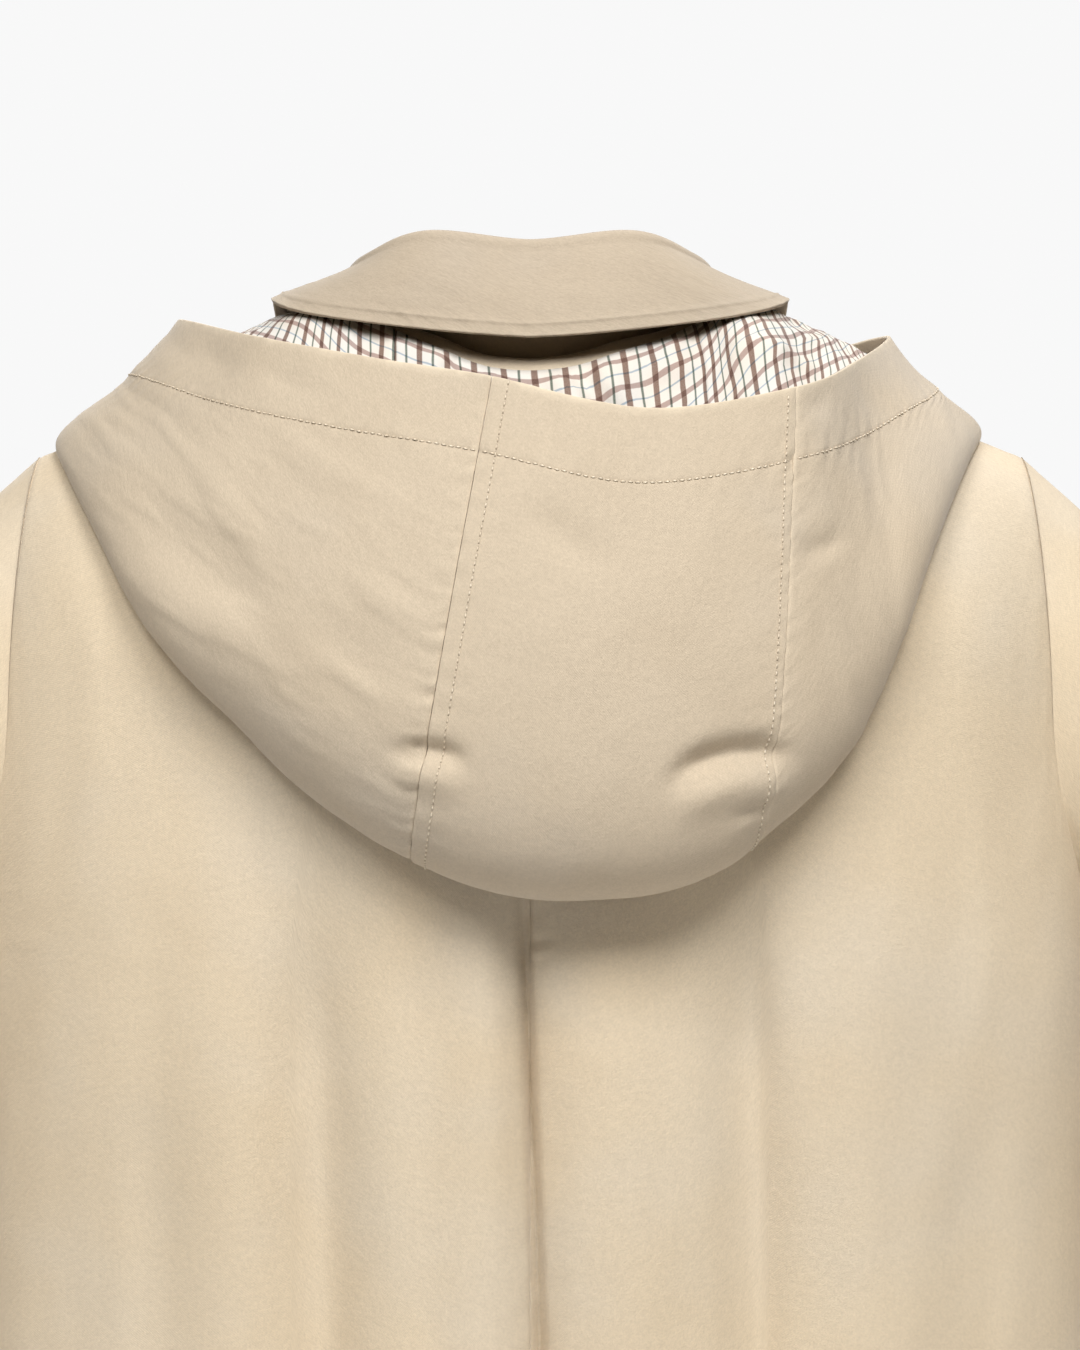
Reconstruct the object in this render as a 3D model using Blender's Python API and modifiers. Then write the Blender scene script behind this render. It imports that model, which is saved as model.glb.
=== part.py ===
"""A hooded zip jacket, filled out as if worn, with nobody in it.

Metres, +Z up. The front faces -Y and the wearer's left is +X. The origin lies between the two
neck points, where the shoulder seams meet the neckline and the wearer carries the jacket.
Every piece of cloth is a wall of one thickness on a smooth sheet of points. The sheets that are
sewn together share the points and the outward directions of their seam, so that their walls
meet face to face, SEAM_GAP apart.
"""

import math
from collections import namedtuple

import bmesh
import bpy
import numpy as np
from mathutils import Matrix

# Walls
CLOTH = 0.0016
LINING = 0.0010
COLLAR_CLOTH = 0.0024
TAPE = 0.0010
SEAM_GAP = 0.0003
HOOD_SEAM_GAP = 0.0008

# Body: the neck hole, the shoulder line and the armhole
NECK_HALF = 0.075
NECK_DROP_BACK = 0.012
NECK_DROP_FRONT = 0.085
SHOULDER_HALF = 0.233
SHOULDER_SLOPE = 0.40
SHOULDER_SOFTNESS = 0.05
SHOULDER_Y = -0.005
ARMHOLE_HALF = 0.243
UNDERARM_DROP = 0.285
HEM_DROP = 0.72
ROUNDNESS = 0.8
NECK_SHARE = 0.36

# Zip: it fills the gap between the two front edges
ZIP_HALF = 0.0065
TAPE_EDGE = 0.0005
TAPE_REACH = 0.0165
TAPE_END = 0.004
SLIDER_DROP = 0.103

# How finely the sheets are divided. Beside the neck points the neckline turns quickly down to
# the front, so the angles from the centre back at which it is divided lie closer there.
NECK_ANGLES = {"back": (0, 18, 36, 54, 72, 90), "front": (175.03, 151, 128, 108, 98, 92.5, 90)}
ARMHOLE_STEPS = 12
SIDE_STEPS = 9
SHOULDER_COLUMNS = 7
COLUMN_FANNING = 1.5
SLEEVE_STEPS = 13
COLLAR_END = 175.03
HOOD_INNER_STEPS = (0.0, 0.03, 0.17, 0.32, 0.47, 0.62, 0.76, 0.89, 1.0)
HOOD_OUTER_STEPS = (0.11, 0.23, 0.36, 0.49, 0.62, 0.75, 0.88, 1.0)

# Half width and depths of the body, by the drop below the neck points
TorsoRow = namedtuple("TorsoRow", "drop half_width back front")
TORSO = (
    TorsoRow(-0.02, 0.260, 0.116, 0.106),
    TorsoRow(0.10, 0.262, 0.122, 0.114),
    TorsoRow(0.20, 0.265, 0.129, 0.124),
    TorsoRow(0.285, 0.267, 0.132, 0.128),
    TorsoRow(0.45, 0.267, 0.130, 0.128),
    TorsoRow(0.60, 0.273, 0.134, 0.130),
    TorsoRow(0.72, 0.280, 0.139, 0.133),
)

# Over how much height the shoulder line rounds down into the back and the front
ROUND_BACK = (0.19, 0.10)
ROUND_FRONT = (0.26, 0.10)

# Soft vertical folds: across is where the fold lies at its top and at the hem, a height below
# zero is a trough, and the two widths are those of its sides towards the wearer's left and right
Fold = namedtuple("Fold", "face across_top across_hem start full left_width right_width height")
FOLDS = (
    Fold("back", 0.004, -0.012, 0.10, 0.34, 0.010, 0.020, -0.0070),
    Fold("back", 0.026, 0.020, 0.16, 0.36, 0.020, 0.014, 0.0045),
    Fold("back", -0.034, -0.046, 0.20, 0.36, 0.022, 0.026, 0.0035),
    Fold("back", 0.092, 0.088, 0.20, 0.40, 0.020, 0.018, -0.0060),
    Fold("back", 0.066, 0.054, 0.18, 0.36, 0.016, 0.016, 0.0030),
    Fold("back", 0.135, 0.145, 0.18, 0.40, 0.026, 0.024, 0.0040),
    Fold("back", -0.100, -0.128, 0.18, 0.40, 0.018, 0.022, -0.0065),
    Fold("back", -0.146, -0.170, 0.18, 0.42, 0.024, 0.022, 0.0040),
    Fold("back", -0.074, -0.086, 0.22, 0.42, 0.018, 0.016, 0.0025),
    Fold("front", 0.090, 0.098, 0.20, 0.46, 0.022, 0.022, -0.0060),
    Fold("front", 0.130, 0.145, 0.22, 0.46, 0.024, 0.024, 0.0045),
    Fold("front", -0.096, -0.108, 0.18, 0.46, 0.022, 0.022, -0.0060),
    Fold("front", -0.140, -0.158, 0.24, 0.50, 0.024, 0.024, 0.0045),
)

# Left sleeve, ring by ring from the armhole to the cuff: its outer and its inner point in the
# plane of the shoulders, how far its middle lies forward, and half its depth
SleeveRow = namedtuple("SleeveRow", "along outer_x outer_z inner_x inner_z middle_y half_depth")
SLEEVE = (
    SleeveRow(0.000, 0.233, -0.058, 0.267, -0.285, 0.000, 0.068),
    SleeveRow(0.070, 0.284, -0.108, 0.276, -0.292, 0.000, 0.073),
    SleeveRow(0.160, 0.336, -0.182, 0.280, -0.305, -0.002, 0.077),
    SleeveRow(0.275, 0.374, -0.290, 0.284, -0.332, -0.003, 0.078),
    SleeveRow(0.410, 0.402, -0.420, 0.310, -0.436, -0.008, 0.071),
    SleeveRow(0.525, 0.418, -0.532, 0.328, -0.543, -0.022, 0.062),
    SleeveRow(0.610, 0.427, -0.617, 0.339, -0.626, -0.036, 0.055),
)
# How alike two outward directions are where a seam still runs on smoothly, and how much
# further out a sleeve starts where it leaves the body at a corner
CORNER = 0.35
CORNER_CLEARANCE = 0.0040
MITRE = 0.6

# Soft folds that cross a sleeve: where along it, at which angle round it (0 is the outer side,
# 90 the back, 180 the inner side), how far they reach along and round it, and how high they are
SleeveFold = namedtuple("SleeveFold", "along angle length spread height")
SLEEVE_FOLDS = (
    SleeveFold(0.150, 120, 0.020, 60, -0.0040),
    SleeveFold(0.215, 140, 0.020, 70, 0.0035),
    SleeveFold(0.335, 160, 0.020, 60, -0.0050),
    SleeveFold(0.385, 150, 0.018, 75, 0.0045),
    SleeveFold(0.430, 190, 0.018, 70, -0.0050),
    SleeveFold(0.480, 170, 0.020, 60, 0.0035),
    SleeveFold(0.300, 250, 0.022, 60, 0.0040),
    SleeveFold(0.560, 120, 0.018, 70, -0.0030),
)

# Collar, by the angle round the neck from the centre back: the height of its fold above the
# neckline, how far the fold leans out, and where its leaf ends: out, up and back along the neck
CollarRow = namedtuple("CollarRow", "angle rise lean edge_out edge_up edge_back")
COLLAR = (
    CollarRow(0, 0.054, -0.004, 0.026, 0.014, 0.0),
    CollarRow(40, 0.055, 0.000, 0.031, 0.017, 0.0),
    CollarRow(68, 0.046, 0.001, 0.040, 0.018, 0.0),
    CollarRow(92, 0.036, 0.002, 0.044, 0.015, 0.0),
    CollarRow(125, 0.032, 0.003, 0.044, 0.003, 0.004),
    CollarRow(155, 0.024, 0.003, 0.042, -0.022, 0.014),
    CollarRow(COLLAR_END, 0.014, 0.002, 0.033, -0.046, 0.034),
)
COLLAR_ROLL = 0.004
COLLAR_SEAT = 0.0015

# Hood, section by section from the left front to the right front: the angle of its neck edge and
# how far that stands off the body, the hood's lowest line on the body (across, and drop below
# the shoulder line), how far that line and the inner wall's hump stand off, the opening edge,
# and how the outer wall swells above its lowest line and below its edge
HoodRow = namedtuple(
    "HoodRow",
    "neck_angle seat fold_x fold_drop fold_lift bridge edge_x edge_y edge_z swell belly",
)
HOOD = (
    HoodRow(160, 0.0031, 0.056, 0.105, 0.0050, 0.000, 0.044, -0.096, -0.083, 0.003, 0.000),
    HoodRow(145, 0.0031, 0.106, 0.076, 0.0058, 0.001, 0.090, -0.086, -0.050, 0.012, 0.005),
    HoodRow(128, 0.0036, 0.150, 0.046, 0.0065, 0.004, 0.124, -0.070, -0.018, 0.016, 0.008),
    HoodRow(96, 0.0070, 0.223, 0.000, 0.0070, 0.014, 0.167, -0.004, 0.006, 0.014, -0.005),
    HoodRow(80, 0.0060, 0.186, 0.074, 0.0090, 0.024, 0.128, 0.088, 0.000, 0.030, 0.006),
    HoodRow(66, 0.0036, 0.122, 0.170, 0.0110, 0.016, 0.075, 0.128, -0.009, 0.045, 0.014),
    HoodRow(48, 0.0031, 0.053, 0.243, 0.0130, 0.008, 0.017, 0.145, -0.018, 0.052, 0.018),
    HoodRow(-6, 0.0031, -0.024, 0.268, 0.0150, 0.006, -0.052, 0.150, -0.032, 0.056, 0.020),
    HoodRow(-62, 0.0036, -0.101, 0.220, 0.0130, 0.012, -0.120, 0.125, -0.023, 0.052, 0.016),
    HoodRow(-80, 0.0060, -0.160, 0.125, 0.0110, 0.022, -0.150, 0.078, -0.012, 0.036, 0.006),
    HoodRow(-96, 0.0070, -0.213, 0.000, 0.0070, 0.014, -0.169, -0.006, -0.001, 0.014, -0.003),
    HoodRow(-128, 0.0036, -0.146, 0.046, 0.0065, 0.004, -0.122, -0.070, -0.019, 0.016, 0.008),
    HoodRow(-145, 0.0031, -0.104, 0.076, 0.0058, 0.001, -0.089, -0.086, -0.050, 0.012, 0.005),
    HoodRow(-160, 0.0031, -0.056, 0.105, 0.0050, 0.000, -0.044, -0.096, -0.083, 0.003, 0.000),
)
HOOD_LEFT_SEAM = 6
HOOD_RIGHT_SEAM = 8
HOOD_RIGHT_END = 13
HOOD_LEFT_COLUMNS = 14
HOOD_RIGHT_COLUMNS = 12
HOOD_MIDDLE_COLUMNS = 6
HOOD_NECK_SPREAD = 1.10
HOOD_NECK_LAP = 0.045
LINING_GAP = 0.0006
LINING_FIRST_ROW = 1
LINING_LAST_ROW = -1
LINING_FRONT_MARGIN = 4

# Colours and finishes
Finish = namedtuple("Finish", "name colour roughness metallic")
TWILL = Finish("cotton_twill", (0.70, 0.60, 0.45), 0.85, 0.0)
CHECK = Finish("check_lining", (0.80, 0.75, 0.68), 0.80, 0.0)
WEBBING = Finish("zip_tape", (0.55, 0.46, 0.33), 0.80, 0.0)
METAL = Finish("zip_metal", (0.62, 0.57, 0.47), 0.35, 1.0)


def clear_scene():
    for obj in list(bpy.data.objects):
        bpy.data.objects.remove(obj, do_unlink=True)


def material(finish):
    made = bpy.data.materials.get(finish.name) or bpy.data.materials.new(finish.name)
    made.use_nodes = True
    shader = made.node_tree.nodes["Principled BSDF"]
    shader.inputs["Base Color"].default_value = (*finish.colour, 1.0)
    shader.inputs["Roughness"].default_value = finish.roughness
    shader.inputs["Metallic"].default_value = finish.metallic
    return made


def collection(name):
    made = bpy.data.collections.new(name)
    bpy.context.scene.collection.children.link(made)
    return made


def smooth(rows, key, column, at):
    """The column's value at the key, on a smooth curve through the table's rows."""
    keys = np.array([getattr(row, key) for row in rows], float)
    values = np.array([getattr(row, column) for row in rows], float)
    return smooth_between(keys, values, at)


def smooth_between(keys, values, at):
    """A cubic through values, whose first axis runs along keys, read at each of at."""
    at = np.clip(at, keys[0], keys[-1])
    slopes = np.gradient(values, keys, axis=0)
    low = np.clip(np.searchsorted(keys, at, side="right") - 1, 0, len(keys) - 2)
    step = keys[low + 1] - keys[low]
    t = (at - keys[low]) / step
    more = (1,) * (values.ndim - 1)
    t, step = t.reshape(t.shape + more), step.reshape(step.shape + more)
    return (
        (1 + 2 * t) * (1 - t) ** 2 * values[low]
        + t * (1 - t) ** 2 * step * slopes[low]
        + t * t * (3 - 2 * t) * values[low + 1]
        + t * t * (t - 1) * step * slopes[low + 1]
    )


def ease(t):
    t = np.clip(t, 0.0, 1.0)
    return t * t * (3 - 2 * t)


def unit(vectors):
    return vectors / np.maximum(np.linalg.norm(vectors, axis=-1, keepdims=True), 1e-12)


# ---------------------------------------------------------------- the body's surface


def shoulder_drop(x):
    """How far the shoulder line lies below the neck points, x out from the middle."""
    reach = np.hypot(x, SHOULDER_SOFTNESS) - math.hypot(NECK_HALF, SHOULDER_SOFTNESS)
    return SHOULDER_SLOPE * reach


def round_height(x, is_back):
    """The height over which the shoulder line rounds down into the back or the front."""
    out = ease(np.abs(x) / SHOULDER_HALF)
    back = ROUND_BACK[0] + (ROUND_BACK[1] - ROUND_BACK[0]) * out
    front = ROUND_FRONT[0] + (ROUND_FRONT[1] - ROUND_FRONT[0]) * out
    return np.where(is_back, back, front)


def depth_at(drop, is_back):
    return np.where(
        is_back, smooth(TORSO, "drop", "back", drop), smooth(TORSO, "drop", "front", drop)
    )


def fold_height(x, drop, is_back):
    """How far the folds lift the cloth off the body's plain surface."""
    height = np.zeros(np.shape(x))
    for fold in FOLDS:
        down = np.clip((drop - fold.start) / (HEM_DROP - fold.start), 0.0, 1.0)
        across = x - (fold.across_top + (fold.across_hem - fold.across_top) * down)
        width = np.where(across > 0, fold.left_width, fold.right_width)
        grown = ease((drop - fold.start) / (fold.full - fold.start))
        shown = np.where(is_back == (fold.face == "back"), grown, 0.0)
        height = height + fold.height * shown * np.exp(-((across / width) ** 2))
    return height


def torso(turn, drop):
    """The body's surface: turn goes from the centre back (0) over the left side to the front."""
    sine, cosine = np.sin(turn), np.cos(turn)
    is_back = cosine > 0
    half_width = smooth(TORSO, "drop", "half_width", drop)
    depth = depth_at(drop, is_back)
    out_x = np.sign(sine) * np.abs(sine) ** ROUNDNESS
    out_y = np.sign(cosine) * np.abs(cosine) ** ROUNDNESS
    x = half_width * out_x
    below = np.clip((drop - shoulder_drop(x)) / round_height(x, is_back), 0.0, 1.0)
    rounding = np.sqrt(1 - (1 - below) ** 2)
    y = SHOULDER_Y + (depth * out_y - SHOULDER_Y) * rounding
    lift = fold_height(x, drop, is_back)
    steep = 2 / ROUNDNESS - 1
    lean_x = np.sign(out_x) * np.abs(out_x) ** steep / half_width
    lean_y = np.sign(out_y) * np.abs(out_y) ** steep / depth
    flat = np.hypot(lean_x, lean_y)
    return np.stack([x + lift * lean_x / flat, y + lift * lean_y / flat, -drop], axis=-1)


def turn_of(x, drop):
    """The turn, from the centre line, at which the body's surface is x out from the middle."""
    share = np.clip(np.abs(x) / smooth(TORSO, "drop", "half_width", drop), 0.0, 1.0)
    return np.arcsin(share ** (1 / ROUNDNESS))


def lap_of(x, drop, is_back):
    """The lap round the shoulder line of a point at that drop: 0 on it, 1 where it hangs."""
    below = (drop - shoulder_drop(x)) / round_height(x, is_back)
    near = np.arccos(np.clip(1 - below, -1.0, 1.0)) / (math.pi / 2)
    lap = np.where(below < 1, near, 1 + (below - 1) / (math.pi / 2))
    return np.where(is_back, lap, -lap)


def over_torso(x, lap):
    """The body's plain surface again, by x and the lap round the shoulder line, back positive."""
    is_back = lap >= 0
    size = np.abs(lap)
    below = np.where(
        size < 1, 1 - np.cos(np.minimum(size, 1) * math.pi / 2), 1 + (size - 1) * math.pi / 2
    )
    drop = shoulder_drop(x) + round_height(x, is_back) * below
    share = np.clip(np.abs(x) / smooth(TORSO, "drop", "half_width", drop), 0.0, 0.999)
    section = (1 - share ** (2 / ROUNDNESS)) ** (ROUNDNESS / 2)
    full = depth_at(drop, is_back) * section * np.where(is_back, 1, -1)
    rounding = np.sqrt(1 - (1 - np.minimum(below, 1)) ** 2)
    y = SHOULDER_Y + (full - SHOULDER_Y) * rounding
    return np.stack([x, y, -drop], axis=-1)


def over_torso_normal(x, lap):
    step_x, step_lap = 0.002, 0.01
    across = over_torso(x + step_x, lap) - over_torso(x - step_x, lap)
    down = over_torso(x, lap + step_lap) - over_torso(x, lap - step_lap)
    return unit(np.cross(across, down))


def neckline(angle):
    """The neckline, by the angle from the centre back towards the wearer's left."""
    x = NECK_HALF * np.sin(angle)
    is_back = np.cos(angle) > 0
    depth = np.where(is_back, NECK_DROP_BACK, NECK_DROP_FRONT)
    return x, depth * np.abs(np.cos(angle)), is_back


# ---------------------------------------------------------------- sheets and walls


def sewn_directions(sheets):
    """The outward direction at every point of the sheets, one and the same for all at a seam,
    and somewhat longer than 1 over a crease."""
    points = np.concatenate([sheet.reshape(-1, 3) for sheet in sheets])
    keys = np.round(points, 6) + 0.0
    _, index = np.unique(keys, axis=0, return_inverse=True)
    index = index.reshape(-1)
    total, size = np.zeros((index.max() + 1, 3)), np.zeros((index.max() + 1, 1))
    start = 0
    for sheet in sheets:
        rows, columns = sheet.shape[:2]
        number = np.arange(rows * columns).reshape(rows, columns) + start
        start += rows * columns
        a, b = number[:-1, :-1].ravel(), number[:-1, 1:].ravel()
        c, d = number[1:, 1:].ravel(), number[1:, :-1].ravel()
        facing = unit(np.cross(points[c] - points[a], points[b] - points[d]))
        for corner in (a, b, c, d):
            np.add.at(total, index[corner], facing)
            np.add.at(size, index[corner], 1.0)
    # Over a crease the wall reaches further, so that it stays as thick on both sides of it.
    sharpness = np.clip(np.linalg.norm(total, axis=-1, keepdims=True) / size, MITRE, 1)
    directions = (unit(total) / sharpness)[index]
    parts = np.split(directions, np.cumsum([s.shape[0] * s.shape[1] for s in sheets])[:-1])
    return [part.reshape(sheet.shape) for part, sheet in zip(parts, sheets)]


def inward(edge, next_line, directions):
    """The direction in the sheet that leads straight in from its edge."""
    into = next_line - edge
    across = unit(np.cross(directions, np.gradient(edge, axis=0)))
    return across * np.sign((across * into).sum(axis=-1, keepdims=True))


def drawn_in(sheet, out, first_row, last_row, first_column, last_column):
    """The sheet with each edge drawn in by its own distance, square to that edge."""
    moved = sheet.copy()
    moved[0] += inward(sheet[0], sheet[1], out[0]) * first_row
    moved[-1] += inward(sheet[-1], sheet[-2], out[-1]) * last_row
    moved[:, 0] += inward(sheet[:, 0], sheet[:, 1], out[:, 0]) * first_column
    moved[:, -1] += inward(sheet[:, -1], sheet[:, -2], out[:, -1]) * last_column
    return moved


def wall(name, sheet, directions, thickness, finish, home, closed=False):
    """A closed wall round the sheet, which is a tube where closed joins its last column."""
    half = directions * thickness / 2
    rows, columns = sheet.shape[:2]
    count = rows * columns
    points = np.concatenate([(sheet + half).reshape(-1, 3), (sheet - half).reshape(-1, 3)])
    number = np.arange(count).reshape(rows, columns)
    around = list(range(columns)) + ([0] if closed else [])
    faces = []
    for i in range(rows - 1):
        for j, k in zip(around[:-1], around[1:]):
            a, b, c, d = number[i, j], number[i, k], number[i + 1, k], number[i + 1, j]
            for triangle in ([a, b, c], [a, c, d]):
                faces.append(triangle)
                faces.append([corner + count for corner in reversed(triangle)])
    rims = [[number[0, j] for j in around], [number[-1, j] for j in reversed(around)]]
    if not closed:
        rims.append([number[i, 0] for i in reversed(range(rows))])
        rims.append([number[i, -1] for i in range(rows)])
    for rim in rims:
        for a, b in zip(rim[:-1], rim[1:]):
            faces.append([b, a, a + count, b + count])
    mesh = bpy.data.meshes.new(name)
    mesh.from_pydata(points.tolist(), [], [[int(c) for c in face] for face in faces])
    work = bmesh.new()
    work.from_mesh(mesh)
    bmesh.ops.recalc_face_normals(work, faces=work.faces)
    work.to_mesh(mesh)
    work.free()
    mesh.shade_smooth()
    mesh.set_sharp_from_angle(angle=math.radians(50))
    mesh.materials.append(material(finish))
    made = bpy.data.objects.new(name, mesh)
    home.objects.link(made)
    return made


# ---------------------------------------------------------------- fronts, backs and sleeves


def armhole_turn(share):
    """The turn of the armhole's edge from the shoulder (share 0) down to the underarm (1)."""
    middle_drop = (shoulder_drop(SHOULDER_HALF) + UNDERARM_DROP) / 2
    top = turn_of(SHOULDER_HALF, shoulder_drop(SHOULDER_HALF))
    middle = turn_of(ARMHOLE_HALF, middle_drop)
    upper = top + (middle - top) * ease(2 * share)
    level = math.cos(middle) ** ROUNDNESS * np.sin(np.pi * share)
    lower = np.arccos(np.clip(level, 0.0, 1.0) ** (1 / ROUNDNESS))
    return np.where(share < 0.5, upper, lower)


def panel(face, side):
    """The sheet of one half of the back or the front, from its centre edge to the side seam."""
    is_back = face == "back"
    middle = 0.0 if is_back else ZIP_HALF
    neck_x, neck_drop, _ = neckline(np.radians(NECK_ANGLES[face]))
    neck_x[0] = middle
    along = np.linspace(0, 1, SHOULDER_COLUMNS + 1)[1:]
    u = np.append(np.linspace(0, NECK_SHARE, len(neck_x)), NECK_SHARE + (1 - NECK_SHARE) * along)
    top_x = np.append(neck_x, NECK_HALF + (SHOULDER_HALF - NECK_HALF) * along)
    top_drop = np.append(neck_drop, shoulder_drop(top_x[len(neck_x) :]))
    top_turn = turn_of(top_x, top_drop)
    side_from = turn_of(middle, UNDERARM_DROP)
    side_turn = side_from + (math.pi / 2 - side_from) * u**COLUMN_FANNING

    share = np.linspace(0, 1, ARMHOLE_STEPS + 1)[:, None]
    down = (1 - np.cos(np.pi * share)) / 2
    first, last = armhole_turn(np.array([0.0, 1.0]))
    at_armhole = (armhole_turn(share) - first) / (last - first)
    nearness = u[None] ** 3
    turned = down * (1 - nearness) + at_armhole * nearness
    upper_drop = top_drop + (UNDERARM_DROP - top_drop) * down
    upper_turn = top_turn + (side_turn - top_turn) * turned

    below = np.linspace(0, 1, SIDE_STEPS + 1)[1:, None]
    lower_drop = UNDERARM_DROP + (HEM_DROP - UNDERARM_DROP) * below + 0 * u[None]
    lower_turn = np.broadcast_to(side_turn, lower_drop.shape)

    drop = np.concatenate([upper_drop, lower_drop])
    turn = np.concatenate([upper_turn, lower_turn])
    return torso(side * turn if is_back else side * (math.pi - turn), drop)


def sleeve(side, back, front):
    """The sheet of one sleeve, whose first ring is the armhole of its back and front panels."""
    armhole = np.concatenate(
        [back[: ARMHOLE_STEPS + 1, -1], front[ARMHOLE_STEPS - 1 : 0 : -1, -1]]
    )
    angle = np.linspace(0, 2 * math.pi, len(armhole), endpoint=False)
    rings = [armhole]
    for row in SLEEVE[1:]:
        outer = np.array([row.outer_x * side, 0, row.outer_z])
        inner = np.array([row.inner_x * side, 0, row.inner_z])
        middle = (outer + inner) / 2 + np.array([0, row.middle_y, 0])
        reach = (outer - inner) / 2
        depth = np.array([0, row.half_depth, 0])
        rings.append(middle + np.cos(angle)[:, None] * reach + np.sin(angle)[:, None] * depth)
    keys = np.array([row.along for row in SLEEVE])
    at = keys[-1] * np.linspace(0, 1, SLEEVE_STEPS + 1) ** 1.15
    sheet = smooth_between(keys, np.array(rings), at)
    middle = sheet.mean(axis=1, keepdims=True)
    lift = np.zeros(sheet.shape[:2])
    for fold in SLEEVE_FOLDS:
        around = np.degrees(angle)[None] - fold.angle
        around = (around + 180) % 360 - 180
        near = ((at[:, None] - fold.along) / fold.length) ** 2 + (around / fold.spread) ** 2
        lift += fold.height * np.exp(-near)
    return sheet + unit(sheet - middle) * lift[..., None]


def with_last_column_closed(sheet):
    return np.concatenate([sheet, sheet[:, :1]], axis=1)


def outward(sheets, mirrored):
    """The outward directions of named sheets, of which the mirrored ones run the other way."""
    read = [sheet[:, ::-1] if name in mirrored else sheet for name, sheet in sheets.items()]
    found = sewn_directions(read)
    return {n: (d[:, ::-1] if n in mirrored else d).copy() for n, d in zip(sheets, found)}


def body_and_sleeves(home):
    sheets, tubes = {}, {}
    for side, word in ((1, "left"), (-1, "right")):
        back, front = panel("back", side), panel("front", side)
        sheets["back_" + word], sheets["front_" + word] = back, front
        tubes["sleeve_" + word] = with_last_column_closed(sleeve(side, back, front))
    out = outward(sheets, {"back_left", "front_right"})
    tube_out = outward(tubes, {"sleeve_right"})
    half_gap = SEAM_GAP / 2
    for word in ("left", "right"):
        tube, around = tubes["sleeve_" + word][:, :-1], tube_out["sleeve_" + word][:, :-1]
        back, front = out["back_" + word], out["front_" + word]
        body = np.concatenate([back[: ARMHOLE_STEPS + 1, -1], front[ARMHOLE_STEPS - 1 : 0 : -1, -1]])
        # Where the sleeve leaves the body at a corner, each wall keeps its own direction there
        # and the sleeve starts further out.
        likeness = (unit(body) * unit(around[0])).sum(axis=-1, keepdims=True)
        apart = np.clip((CORNER - likeness) / CORNER, 0, 1)
        seam = unit(body + around[0])
        body, around[0] = unit(seam * (1 - apart) + body * apart), unit(
            seam * (1 - apart) + around[0] * apart
        )
        back[: ARMHOLE_STEPS + 1, -1] = body[: ARMHOLE_STEPS + 1]
        front[ARMHOLE_STEPS:0:-1, -1] = body[ARMHOLE_STEPS:]
        front[0, -1] = body[0]
        drawn = tube.copy()
        drawn[0] += unit(tube[1] - tube[0]) * (half_gap + CORNER_CLEARANCE * apart)
        wall("sleeve_" + word, drawn, around, CLOTH, TWILL, home, closed=True)
    for name, sheet in sheets.items():
        face, word = name.split("_")
        centre_gap = half_gap if face == "back" else 0.0
        drawn = drawn_in(sheet, out[name], 0.0, 0.0, centre_gap, half_gap)
        # The shoulder seam and the side seam both end in one upright plane.
        from_seam = half_gap if face == "back" else -half_gap
        to_middle = -half_gap if word == "left" else half_gap
        drawn[0, -1] = sheet[0, -1] + np.array([to_middle, 0, 0])
        drawn[0, len(NECK_ANGLES[face]) - 1 :, 1] += from_seam
        drawn[ARMHOLE_STEPS, -1] = sheet[ARMHOLE_STEPS, -1] + np.array([0, from_seam, -half_gap])
        wall(name, drawn, out[name], CLOTH, TWILL, home)


# ---------------------------------------------------------------- collar


def collar(home):
    """One piece that stands on the neckline, rolls over and falls outside."""
    degrees = np.array(NECK_ANGLES["back"][:-1] + NECK_ANGLES["front"][::-1])
    degrees = np.concatenate([-degrees[:0:-1], degrees])
    angle, size = np.radians(degrees), np.abs(degrees)
    x, drop, is_back = neckline(angle)
    lap = lap_of(x, drop, is_back)
    foot = over_torso(x, lap) + over_torso_normal(x, lap) * COLLAR_SEAT
    out = unit(np.stack([np.sin(angle), np.cos(angle), 0 * angle], axis=-1))
    back = np.stack([-np.cos(angle), np.sin(angle), 0 * angle], axis=-1)
    back *= np.sign(angle + 1e-9)[:, None]
    up = np.array([0.0, 0.0, 1.0])
    rise, lean, edge_out, edge_up, edge_back = (
        smooth(COLLAR, "angle", column, size)[:, None]
        for column in ("rise", "lean", "edge_out", "edge_up", "edge_back")
    )
    top = foot + up * (rise - COLLAR_ROLL) + out * lean
    over = top + out * 2 * COLLAR_ROLL
    edge = foot + out * edge_out + up * edge_up + back * edge_back
    lines = [foot + (top - foot) * share for share in (0.0, 0.5, 1.0)]
    for turn in (math.pi / 3, 2 * math.pi / 3):
        lines.append(
            top + out * COLLAR_ROLL * (1 - math.cos(turn)) + up * COLLAR_ROLL * math.sin(turn)
        )
    lines += [over + (edge - over) * share for share in (0.0, 0.35, 0.7, 1.0)]
    sheet = np.array(lines)
    directions = sewn_directions([sheet])[0]
    wall("collar", sheet, directions, COLLAR_CLOTH, TWILL, home)


# ---------------------------------------------------------------- hood


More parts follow.
